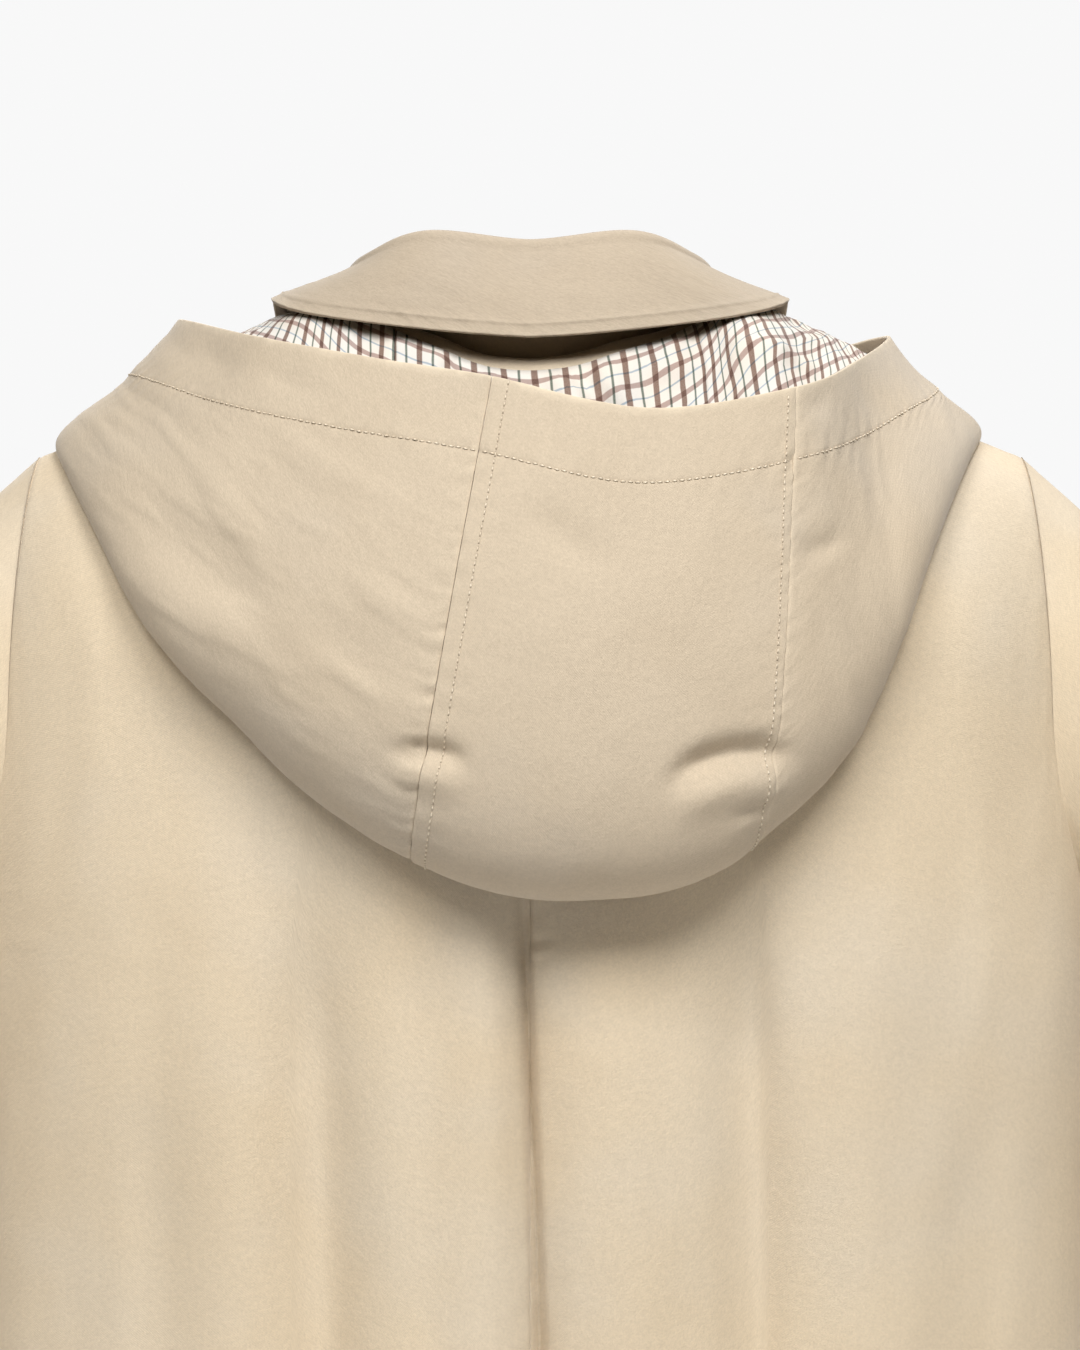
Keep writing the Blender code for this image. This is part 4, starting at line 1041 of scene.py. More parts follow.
def stitches(name, lines, finish):
    """Every stitch along the lines as a short thread that dips into the cloth at both ends."""
    shape_along, shape_up, painted_hole_shade = np.array(STITCH_SHAPE).T
    shape_up = shape_up * STITCH_HEIGHT
    turns = np.linspace(0, 2 * math.pi, STITCH_SIDES, endpoint=False)
    all_points, all_faces, start = [], [], 0
    rings, sides = len(shape_along), STITCH_SIDES
    # Painted shade: the rings where the thread dips into the cloth are darkened
    painted_hole_shade = np.repeat(painted_hole_shade, sides)
    number = np.arange(rings * sides).reshape(rings, sides)
    tube = faces_between(number, closed=True)
    caps = [number[0, ::-1].tolist(), number[-1].tolist()]
    for line, out in lines:
        run = run_along(line)
        for middle in np.arange(STITCH_PITCH, run[-1] - STITCH_PITCH / 2, STITCH_PITCH):
            places = middle + shape_along * STITCH_LENGTH
            centre = np.stack([np.interp(places, run, values) for values in line.T], axis=-1)
            up = unit(np.array([np.interp(middle, run, values) for values in out.T]))
            forward = unit(centre[-1] - centre[0])
            aside = unit(np.cross(forward, up))
            centre = centre + up * shape_up[:, None]
            ring = np.cos(turns)[:, None] * aside + np.sin(turns)[:, None] * up
            all_points.append((centre[:, None] + ring[None] * THREAD_RADIUS).reshape(-1, 3))
            all_faces += (tube + start).tolist()
            all_faces += [[corner + start for corner in cap] for cap in caps]
            start += rings * sides
    count = len(all_points)
    return mesh_object(
        name, np.concatenate(all_points), all_faces, finish=finish, tint=np.tile(painted_hole_shade, count)
    )


# ---------------------------------------------------------------- the body's panels and sleeves


def reached(line, start, stop, distances):
    """The parameters at which a line's points lie at given distances from its start."""
    fine = np.linspace(start, stop, LINE_SAMPLES)
    return np.interp(distances, run_along(line(fine)), fine)


def about(distance, reach=0.0012):
    """Distances on both sides of a stitched line, so that the cloth can dip there."""
    return tuple(distance + reach * share for share in (-1.0, -0.5, 0.0, 0.5, 1.0))


def panel(face, side, columns, rows):
    """The sheet of one half of the back or the front: columns from its centre edge (0) to the
    side seam (1), and rows from the shoulder (0) over the underarm (1) to the hem (2)."""
    is_back = face == "back"
    middle = 0.0 if is_back else ZIP_HALF
    angles = np.array(NECK_ANGLES[face], float)
    at = np.minimum(columns / NECK_SHARE, 1) * (len(angles) - 1)
    angle = smooth_between(np.arange(len(angles), dtype=float), angles, at)
    neck_x, neck_drop, _ = neckline(np.radians(angle))
    along = np.clip((columns - NECK_SHARE) / (1 - NECK_SHARE), 0, 1)
    on_shoulder = columns > NECK_SHARE
    top_x = np.where(on_shoulder, NECK_HALF + (SHOULDER_HALF - NECK_HALF) * along, neck_x)
    top_drop = np.where(on_shoulder, shoulder_drop(top_x), neck_drop)
    top_turn = turn_of(top_x, top_drop)
    side_from = turn_of(middle, UNDERARM_DROP)
    side_turn = side_from + (math.pi / 2 - side_from) * columns**COLUMN_FANNING

    share = np.clip(rows, 0, 1)[:, None]
    first, last = armhole_turn(np.array([0.0, 1.0]))
    at_armhole = (armhole_turn(share) - first) / (last - first)
    nearness = columns[None] ** 3
    down = (1 - np.cos(np.pi * share)) / 2
    down = down + (1 - nearness) * EVEN_SHARE * (share - down)
    turned = down * (1 - nearness) + at_armhole * nearness
    below = np.clip(rows - 1, 0, 1)[:, None]
    drop = top_drop + (UNDERARM_DROP - top_drop) * down + (HEM_DROP - UNDERARM_DROP) * below
    turn = top_turn + (side_turn - top_turn) * turned
    return torso(side * turn if is_back else side * (math.pi - turn), drop)


def body_rows():
    def line(rows):
        return panel("back", 1, np.array([0.6]), rows)[:, 0]

    near_top = reached(line, 0, 1, SEAM_POINTS)
    upper = np.linspace(0, 1, UPPER_ROWS + 1)
    upper = upper[(upper == 0) | (upper > near_top[-1] * 1.2)]
    near_underarm = 1 - np.array(SEAM_POINTS) / UNDERARM_REACH
    upper = upper[(upper == 1) | (upper < near_underarm.min() - 0.004)]
    lower = spaced(line, 1, 2, LOW_ROW_STEP, (), EDGE_POINTS + about(BODY_HEM))
    return np.unique(np.concatenate([upper, near_top, near_underarm, lower]))


def body_columns(face):
    def line(columns, face=face):
        return panel(face, 1, columns, np.array([1.0]))[0]

    near = CENTRE_POINTS if face == "back" else EDGE_POINTS + about(FRONT_STITCH)
    neck = spaced(line, 0, NECK_SHARE, BACK_STEP if face == "back" else FRONT_STEP, near)
    shoulder = spaced(lambda u: line(u, "back"), NECK_SHARE, 1, BACK_STEP, (), SEAM_POINTS)
    return np.concatenate([neck, shoulder[1:]])


def sleeve(side, armhole, angle, at):
    """The sheet of one sleeve, from its armhole's points and their angles round it."""
    rings = [armhole]
    for row in SLEEVE[1:]:
        outer = np.array([row.outer_x * side, 0, row.outer_z])
        inner = np.array([row.inner_x * side, 0, row.inner_z])
        middle = (outer + inner) / 2 + np.array([0, row.middle_y, 0])
        reach = (outer - inner) / 2
        depth = np.array([0, row.half_depth, 0])
        rings.append(middle + np.cos(angle)[:, None] * reach + np.sin(angle)[:, None] * depth)
    keys = np.array([row.along for row in SLEEVE])
    sheet = smooth_between(keys, np.array(rings), at)
    middle = sheet.mean(axis=1, keepdims=True)
    lift = np.zeros(sheet.shape[:2])
    for fold in SLEEVE_FOLDS:
        around = (np.degrees(angle)[None] - fold.angle + 180) % 360 - 180
        near = ((at[:, None] - fold.along) / fold.length) ** 2 + (around / fold.spread) ** 2
        lift += fold.height * np.exp(-near)
    return sheet + unit(sheet - middle) * lift[..., None]


def outward(sheets, mirrored):
    """The outward directions of named sheets, of which the mirrored ones run the other way."""
    read = [sheet[:, ::-1] if name in mirrored else sheet for name, sheet in sheets.items()]
    found = sewn_directions(read)
    return {n: (d[:, ::-1] if n in mirrored else d).copy() for n, d in zip(sheets, found)}


def round_armhole(front, back, upper):
    """One line round an armhole: up the front from the underarm and down the back."""
    return np.concatenate([front[:upper, -1][::-1], back[1:upper, -1]])


def sleeve_cloth(side, word, rows, upper, sheets, out):
    """The cloth of one sleeve. Along their seam its outward directions and the body's become the
    same, but not where the two meet at a corner: there it starts a little further out."""
    name, front, back = "sleeve_" + word, "front_" + word, "back_" + word
    turns = np.pi * rows
    angle = np.concatenate([2 * math.pi - turns[:upper][::-1], turns[1:upper] + 2 * math.pi])
    near_cuff = EDGE_POINTS + about(CUFF_HEM)
    along = np.array([[1.0, 0.0, 0.0]])
    at = spaced(
        lambda t: t[:, None] * along, 0, SLEEVE[-1].along, SLEEVE_STEP, SEAM_POINTS, near_cuff
    )
    tube = sleeve(side, round_armhole(sheets[front], sheets[back], upper), angle, at)
    around = outward({name: tube}, {name} if side > 0 else set())[name]
    around[:, 0] = around[:, -1] = unit(around[:, 0] + around[:, -1])
    body = round_armhole(out[front], out[back], upper)
    likeness = (unit(body) * unit(around[0])).sum(axis=-1, keepdims=True)
    apart = np.clip((CORNER - likeness) / CORNER, 0, 1)
    seam = unit(body + around[0])
    body = unit(seam * (1 - apart) + body * apart)
    around[0] = unit(seam * (1 - apart) + around[0] * apart)
    out[front][:upper, -1] = body[:upper][::-1]
    out[back][:upper, -1] = body[upper - 1 :]
    drawn = drawn_in(tube, around, 0.0, 0.0, HALF_GAP, HALF_GAP)
    drawn[0] += unit(tube[1] - tube[0]) * (HALF_GAP + CORNER_CLEARANCE * apart)
    return measured(drawn, around)


def sleeve_wall(name, cloth, twill):
    edge = edges(cloth)
    lift = uneven(cloth.across, cloth.down, SLEEVE_UNEVENNESS)
    lift *= ease(edge.top / CALM) * ease(edge.start / SLEEVE_CALM) * ease(edge.stop / SLEEVE_CALM)
    eased = puckers(cloth.across, edge.top, *RIPPLES["armhole"]) * ease(edge.top / RIPPLE_CALM)
    lift += eased * ease(edge.start / SLEEVE_CALM) * ease(edge.stop / SLEEVE_CALM)
    relief = groove(edge.top, ARMHOLE_GROOVE) + groove(edge.start) + groove(edge.stop)
    relief += dent(edge.bottom - CUFF_HEM)
    worn = bell(edge.bottom, WORN_HEM)
    return cloth_wall(name, cloth, CLOTH, twill, lift, relief, worn, free="bottom")


def panel_wall(name, sheet, out, twill):
    """The wall of one half of the back or the front, its cloth, and its outer surface."""
    face, word = name.split("_")
    is_back = face == "back"
    on_shoulder = body_columns(face) > NECK_SHARE - 1e-6
    drawn = drawn_in(sheet, out, 0.0, 0.0, HALF_GAP if is_back else 0.0, HALF_GAP)
    drawn[0] = sheet[0]
    drawn[0, on_shoulder, 1] += HALF_GAP if is_back else -HALF_GAP
    cloth = measured(drawn, out)
    edge = edges(cloth)
    lift = uneven(drawn[..., 0], drawn[..., 2], BACK_UNEVENNESS)
    lift *= ease(edge.stop / CALM) * ease(edge.top / CALM)
    if is_back:
        lift *= ease(edge.start / CENTRE_CALM)
        deeper = in_valleys(drawn, BACK_VALLEYS) * ease(edge.stop / CALM)
        cloth = cloth._replace(points=drawn + BACKWARD * deeper[..., None])
        crinkled = ease((-drawn[..., 2] - CENTRE_FROM[0]) / CENTRE_FROM[1])
        rippled = puckers(cloth.down, edge.start, *RIPPLES["centre_" + word])
        lift += CENTRE_SHARE[word] * crinkled * rippled
    beside = puckers(cloth.down, edge.stop, *RIPPLES["side_" + face])
    lift += beside * ease(edge.top / CALM) * ease(edge.stop / RIPPLE_CALM)
    at_armhole = drawn[:, -1:, 2] > -UNDERARM_DROP
    relief = groove(edge.stop, np.where(at_armhole, ARMHOLE_GROOVE, SEAM_GROOVE))
    relief = relief + np.where(on_shoulder, 1.0, 0.0)[None] * groove(edge.top)
    relief = relief + dent(edge.bottom - BODY_HEM)
    relief += groove(edge.start) if is_back else dent(edge.start - FRONT_STITCH)
    worn = bell(edge.bottom, WORN_HEM) + 0.5 * bell(edge.start, WORN_FRONT)
    free = "bottom" if is_back else "bottom start"
    made, surface = cloth_wall(name, cloth, CLOTH, twill, lift, relief, worn, free=free)
    return made, cloth, surface


def body_and_sleeves(twill, thread):
    rows = body_rows()
    upper = int(np.searchsorted(rows, 1.0)) + 1
    sheets = {}
    for side, word in SIDES:
        for face in ("back", "front"):
            sheets[f"{face}_{word}"] = panel(face, side, body_columns(face), rows)
    out = outward(sheets, {"back_left", "front_right"})
    made, sewing = {}, []
    for side, word in SIDES:
        name = "sleeve_" + word
        cloth = sleeve_cloth(side, word, rows, upper, sheets, out)
        made[name], surface = sleeve_wall(name, cloth, twill)
        sewing.append(line_down(cloth, surface, CUFF_HEM, from_end=True))
    for name, sheet in sheets.items():
        made[name], cloth, surface = panel_wall(name, sheet, out[name], twill)
        sewing.append(line_down(cloth, surface, BODY_HEM, from_end=True))
        if name.startswith("front"):
            sewing.append(line_across(cloth, surface, FRONT_STITCH))
    made["body_sewing"] = stitches("body_sewing", sewing, thread)
    return made


# ---------------------------------------------------------------- collar


def collar(twill, thread):
    """One piece that stands on the neckline, rolls over and falls outside."""

    def foot_at(degrees):
        x, drop, is_back = neckline(np.radians(degrees))
        lap = lap_of(x, drop, is_back)
        return over_torso(x, lap) + over_torso_normal(x, lap) * COLLAR_SEAT

    def out_at(degrees):
        angle = np.radians(degrees)
        return np.stack([np.sin(angle), np.cos(angle), 0 * angle], axis=-1)

    def edge_at(degrees):
        reach = smooth(COLLAR, "angle", "edge_out", np.abs(degrees))
        return foot_at(degrees) + out_at(degrees) * reach[:, None]

    near = EDGE_POINTS + about(COLLAR_STITCH)
    degrees = spaced(edge_at, -COLLAR_END, COLLAR_END, COLLAR_STEP, near, near)
    angle, size = np.radians(degrees), np.abs(degrees)
    foot = foot_at(degrees)
    out = unit(out_at(degrees))
    back = np.stack([-np.cos(angle), np.sin(angle), 0 * angle], axis=-1)
    back *= np.sign(angle + 1e-9)[:, None]
    rise, lean, edge_out, edge_up, edge_back = (
        smooth(COLLAR, "angle", column, size)[:, None]
        for column in ("rise", "lean", "edge_out", "edge_up", "edge_back")
    )
    top = foot + UP * (rise - COLLAR_ROLL) + out * lean
    over = top + out * 2 * COLLAR_ROLL
    edge = foot + out * edge_out + UP * edge_up + back * edge_back
    # Below its foot the stand goes on a little way into the neck, as its seam allowance does.
    inward, downward = NECK_ALLOWANCE
    lines = [foot - out * inward * share - UP * downward * share for share in (1.0, 0.5)]
    lines += [foot + (top - foot) * share for share in np.linspace(0, 1, STAND_ROWS - 2)]
    for turn in np.linspace(0, math.pi, ROLL_ROWS + 2)[1:-1]:
        rolled = out * COLLAR_ROLL * (1 - math.cos(turn))
        lines.append(top + rolled + UP * COLLAR_ROLL * math.sin(turn))
    length = np.linalg.norm(edge - over, axis=-1)[len(degrees) // 2]
    from_edge = np.array(EDGE_POINTS + about(COLLAR_STITCH)) / length
    even = np.linspace(0, 1, LEAF_ROWS)
    even = even[even < 1 - from_edge.max() * 1.15]
    for share in np.unique(np.concatenate([even, 1 - from_edge, LEAF_LAST_ROWS])):
        crown = out * LEAF_CROWN * math.sin(math.pi * share) ** 0.8
        lines.append(over + (edge - over) * share + crown)
    sheet = np.array(lines)
    cloth = measured(sheet, sewn_directions([sheet])[0])
    rim = edges(cloth)
    fallen_by = cloth.down - cloth.down[STAND_ROWS + ROLL_ROWS // 2]
    lift = uneven(cloth.across, cloth.down, COLLAR_UNEVENNESS) * ease(fallen_by / 0.02)
    lift += puckers(cloth.across, rim.bottom - COLLAR_STITCH, *RIPPLES["collar"])
    nearest = np.minimum(rim.bottom, np.minimum(rim.start, rim.stop))
    relief = COLLAR_DENT * dent(nearest - COLLAR_STITCH)
    worn = bell(nearest, WORN_COLLAR)
    made, surface = cloth_wall(
        "collar", cloth, COLLAR_CLOTH, twill, lift, relief, worn, free="start stop top bottom"
    )
    leaf = np.s_[STAND_ROWS + ROLL_ROWS :]
    fallen = Cloth(*(field[leaf] for field in cloth))
    fallen = fallen._replace(down=fallen.down - fallen.down[:1])
    line, line_out = line_down(fallen, surface[leaf], COLLAR_STITCH, from_end=True)
    first = int(np.searchsorted(cloth.across[-1], COLLAR_STITCH))
    inside = slice(first, len(line) - first)
    sewing = [(line[inside], line_out[inside])]
    for from_end in (False, True):
        side, side_out = line_across(fallen, surface[leaf], COLLAR_STITCH, from_end)
        kept = fallen.down[:, 0] < fallen.down[-1, 0] - COLLAR_STITCH
        sewing.append((side[kept], side_out[kept]))
    return {"collar": made, "collar_sewing": stitches("collar_sewing", sewing, thread)}


# ---------------------------------------------------------------- hood


def resampled(sheet, step, near_start=(), near_stop=()):
    """The sheet with new columns: every row is divided at the same distances from its two ends
    and evenly in between, a step apart where it is longest."""
    run = run_along(sheet, 1)
    start = np.concatenate([[0.0], near_start])
    stop = np.concatenate([[0.0], near_stop])[::-1]
    parts = max(2, round((run[:, -1].max() - start[-1] - stop[0]) / step))
    even = np.linspace(0, 1, parts + 1)[1:-1]
    rows = []
    for length, points, at in zip(run[:, -1], sheet, run):
        fit = min(1.0, NEAR_SHARE * length / max(start[-1] + stop[0], 1e-9))
        first, last = start * fit, length - stop * fit
        wanted = np.concatenate([first, first[-1] + (last[0] - first[-1]) * even, last])
        rows.append(np.stack([np.interp(wanted, at, values) for values in points.T], axis=-1))
    return np.array(rows)


def softened(sheet, row, times):
    """The sheet with its sharp fold along that row turned into a soft one."""
    for _ in range(times):
        near = np.s_[row - 3 : row + 4]
        before, after = sheet[row - 4 : row + 3], sheet[row - 2 : row + 5]
        sheet[near] = sheet[near] * 0.5 + (before + after) * 0.25
    return sheet


def body_side(whole, fold):
    """The direction square to the hood's inner wall beside its fold, towards the body."""
    low, middle, high = (whole[fold - rows] for rows in BESIDE_FOLD)
    square = unit(np.cross(np.gradient(middle, axis=0), low - high))
    away = whole[fold] - np.array(IN_THE_BODY)
    return -square * np.sign((square * away).sum(axis=-1, keepdims=True))


def hood_sheets():
    """The three sheets of the hood, from their neck edge to the opening, and their fold's row."""
    stations = np.linspace(0, HOOD_RIGHT_END, HOOD_RIGHT_END * HOOD_DENSITY + 1)
    hem = tuple(np.arange(*HOOD_HEM_STRIP, HOOD_STEP)) + about(HOOD_HEM, 0.002)
    top = NECK_EDGE_POINTS + tuple(np.arange(*NECK_STRIP, LINING_STEP))
    share, station = np.meshgrid(np.linspace(0, 0.5, HOOD_SAMPLES, endpoint=False), stations)
    last = np.nextafter(0.5, 0)
    share = np.concatenate([share, np.full((len(stations), 1), last)], axis=1)
    station = np.concatenate([station, stations[:, None]], axis=1)
    inner = resampled(hood_point(station, share), HOOD_INNER_STEP, top, FOLD_POINTS)
    share, station = np.meshgrid(np.linspace(0.5, 1, HOOD_SAMPLES + 1), stations)
    near_edge = EDGE_POINTS + hem
    outer = resampled(hood_point(station, share), HOOD_ROW_STEP, FOLD_POINTS, near_edge)
    fold = inner.shape[1] - 1
    whole = np.concatenate([inner, outer[:, 1:]], axis=1).swapaxes(0, 1)
    run = run_along(whole)
    rise = smooth(HOOD_RIDGE, "station", "height", stations)
    rise = rise * ease(run / RIDGE_RISE) * (1 - ease((run - 0.006) / RIDGE_FALL))
    press = smooth(HOOD_RIDGE, "station", "press", stations)
    press = press * bell(run - run[fold], PRESS_REACH)
    past = (run - run[fold]) / (run[-1] - run[fold])
    share = np.where(past < 0, run / run[fold], past)
    press = press + smooth(HOOD_RIDGE, "station", "sink", stations) * np.sin(np.pi * share)
    whole = whole + UP * rise[..., None]
    whole = whole + body_side(whole, fold) * press[..., None]
    whole = softened(whole, fold, FOLD_SOFTNESS)
    at_left, at_right = HOOD_LEFT_SEAM * HOOD_DENSITY, HOOD_RIGHT_SEAM * HOOD_DENSITY
    seam = SEAM_POINTS + HOOD_SEAM_POINTS
    return {
        "left": resampled(whole[:, : at_left + 1], HOOD_STEP, EDGE_POINTS, seam),
        "middle": resampled(whole[:, at_left : at_right + 1], HOOD_STEP, seam, seam),
        "right": resampled(whole[:, at_right:], HOOD_STEP, seam, EDGE_POINTS),
    }, fold


def hood(twill, check, thread):
    sheets, fold = hood_sheets()
    directions = dict(zip(sheets, sewn_directions(list(sheets.values()))))
    within = CLOTH / 2 + LINING_GAP + LINING / 2
    made, sewing = {}, []
    for word, sheet in sheets.items():
        name, inside, seams = "hood_" + word, directions[word], HOOD_SEAMS[word]
        drawn = drawn_in(sheet, inside, 0.0, 0.0, *seams.gaps)
        cloth = measured(drawn, -inside)
        edge = edges(cloth)
        from_fold = cloth.down - cloth.down[fold : fold + 1]
        shown = ease(from_fold / 0.008) * ease((drawn[..., 1] + 0.01) / 0.03)
        lift = creased(drawn, HOOD_CREASES) * shown
        wavy = uneven(drawn[..., 0], drawn[..., 2], HOOD_UNEVENNESS)
        lift += wavy * ease(np.abs(from_fold) / 0.01)
        lining_lift = lift.copy()
        relief = groove(edge.start, seams.grooves[0]) + groove(edge.stop, seams.grooves[1])
        if word == "middle":
            rippled = puckers(cloth.down, edge.start, *RIPPLES["middle_left"])
            rippled = rippled + puckers(cloth.down, edge.stop, *RIPPLES["middle_right"])
            lift += MIDDLE_SHARE * rippled * shown
            relief += step_down(edge.start - LEFT_SEAM_STITCH, LEFT_ALLOWANCE)
            relief += step_down(edge.stop - RIGHT_SEAM_STITCH, RIGHT_ALLOWANCE)
        else:
            seam = edge.stop if word == "left" else edge.start
            seed, strength = PINCHES[name]
            lift += puckers(cloth.down, seam, *RIPPLES[name]) * shown
            lift += strength * pinches(cloth.down, seam, seed) * shown
        relief += step_down(edge.bottom - HOOD_HEM) + dent(edge.bottom - HOOD_HEM)
        lift += puckers(cloth.across, edge.bottom - HOOD_HEM, *RIPPLES["opening"]) * shown
        worn = bell(edge.bottom, WORN_OPENING) + 0.8 * bell(from_fold, WORN_FOLD)
        worn += 0.4 * (bell(edge.start, WORN_SEAM) + bell(edge.stop, WORN_SEAM))
        anchor = {"left": -1, "middle": sheet.shape[1] // 2, "right": 0}[word]
        made[name], surface = cloth_wall(
            name, cloth, CLOTH, twill, lift, relief, worn, (fold, anchor), seams.free
        )
        sewing.append(line_down(cloth, surface, HOOD_HEM, from_end=True))
        if word == "middle":
            outer = np.s_[fold + 2 :]
            fallen = Cloth(*(field[outer] for field in cloth))
            sewing.append(line_across(fallen, surface[outer], LEFT_SEAM_STITCH))
            sewing.append(line_across(fallen, surface[outer], RIGHT_SEAM_STITCH, from_end=True))
        close = 1 - ease(np.abs(from_fold) / LINING_CLOSE)
        reach = within - 0.8 * LINING_GAP * close
        made["lining_" + word] = lining(
            word, cloth, inside, lining_lift, reach[..., None], close, anchor, check
        )
    made["hood_sewing"] = stitches("hood_sewing", sewing, thread)
    return made


def lining(word, shell, inside, shell_lift, within, close, anchor, check):
    """The lining of one part, inside its shell, from its neck strip to under the hem. Within is
    how far from the shell its middle lies, and close is 1 where it lies deep in the fold."""
    middle = shell.points.shape[1] // 2
    under_hem = edges(shell).bottom[:, middle] - HOOD_HEM + LINING_UNDER_HEM
    rows = slice(LINING_TOP_ROW, int(np.argmin(np.abs(under_hem))) + 1)
    margin = int(LINING_FRONT_SHARE * shell.points.shape[1])
    columns = slice(margin if word == "left" else 0, -margin if word == "right" else None)
    part = (rows, columns)
    sheet = shell.points[part] + inside[part] * within[part]
    cloth = measured(sheet, inside[part])
    edge = edges(cloth)
    # The lining is looser than the shell, so it stands off it in soft folds.
    loose = ease(edge.top / 0.010) * ease(edge.bottom / 0.02) * (1 - close[part])
    soft = uneven(sheet[..., 0], sheet[..., 2] - sheet[..., 1], LINING_UNEVENNESS)
    loose = loose * (1 - 0.9 * bell(sheet[..., 0] - UNDER_TIP[0], UNDER_TIP[1]))
    lift = (LINING_LOOSE + soft) * loose - shell_lift[part]
    for fold in LINING_FOLDS:
        away = sheet[..., 0] - fold.x - fold.slant * edge.top
        lift -= fold.depth * bell(away, fold.width) * (1 - ease((edge.top - 0.01) / 0.05))
        lift += 0.6 * fold.depth * bell(np.abs(away) - 2.2 * fold.width, fold.width * 1.3) * loose
    lift = np.maximum(lift, -shell_lift[part])
    relief = groove(edge.start) * (word != "left") + groove(edge.stop) * (word != "right")
    at = anchor if anchor <= 0 else anchor - (columns.start or 0)
    name = "lining_" + word
    made, _ = cloth_wall(name, cloth, LINING, check, lift, relief, 0.0, (0, at), "top bottom")
    return made


# ---------------------------------------------------------------- zip


def zip_tapes(webbing):
    made = {}
    rows = np.linspace(NECK_DROP_FRONT + TAPE_END, HEM_DROP - TAPE_END, TAPE_ROWS)
    for side, word in SIDES:
        columns = side * np.linspace(TAPE_EDGE, TAPE_REACH, TAPE_COLUMNS)
        across, drop = np.meshgrid(columns, rows)
        point, out, _ = front_line(across, drop)
        sheet = point - out * (CLOTH / 2 + SEAM_GAP + TAPE / 2)
        cloth = measured(sheet, out)
        name = "zip_tape_" + word
        made[name], _ = cloth_wall(name, cloth, TAPE, webbing, 0 * drop, 0 * drop, 0.0)
    return made


def teeth(metal):
    """Both rows of teeth in one mesh: each tooth grips the edge of its tape and reaches over the
    middle, where it lies between two teeth of the other row."""
    profile = np.array(TOOTH_OUTLINE)
    points, faces = [], []
    first, last = SLIDER_DROP + TEETH_START, HEM_DROP - TEETH_END
    drops = np.arange(first, last, TOOTH_PITCH / 2)
    for number, drop in enumerate(drops):
        side = 1 if number % 2 else -1
        point, out, down = (v[0] for v in front_line(np.array([0.0]), np.array([drop])))
        across = np.cross(out, down)
        across *= np.sign(across[0]) * side
        middle = point - out * (CLOTH / 2 + SEAM_GAP + TAPE / 2)
        middle = middle + across * (TOOTH_LENGTH / 2 - TOOTH_OVERLAP)
        for face, width in TOOTH_RINGS:
            ring = middle + out * TOOTH_DEPTH * face
            ring = ring - across * profile[:, :1] * TOOTH_LENGTH * (0.9 + 0.1 * width)
            ring = ring + down * profile[:, 1:] * TOOTH_WIDTH * width * TOOTH_SLIMNESS
            points.append(ring)
        index = np.arange(len(points) * len(profile)).reshape(len(points), -1)[-4:]
        faces += faces_between(index, closed=True).tolist()
        faces += [index[0, ::-1].tolist(), index[-1].tolist()]
    return mesh_object("zip_teeth", np.concatenate(points), faces, finish=metal)


# ---------------------------------------------------------------- finishes


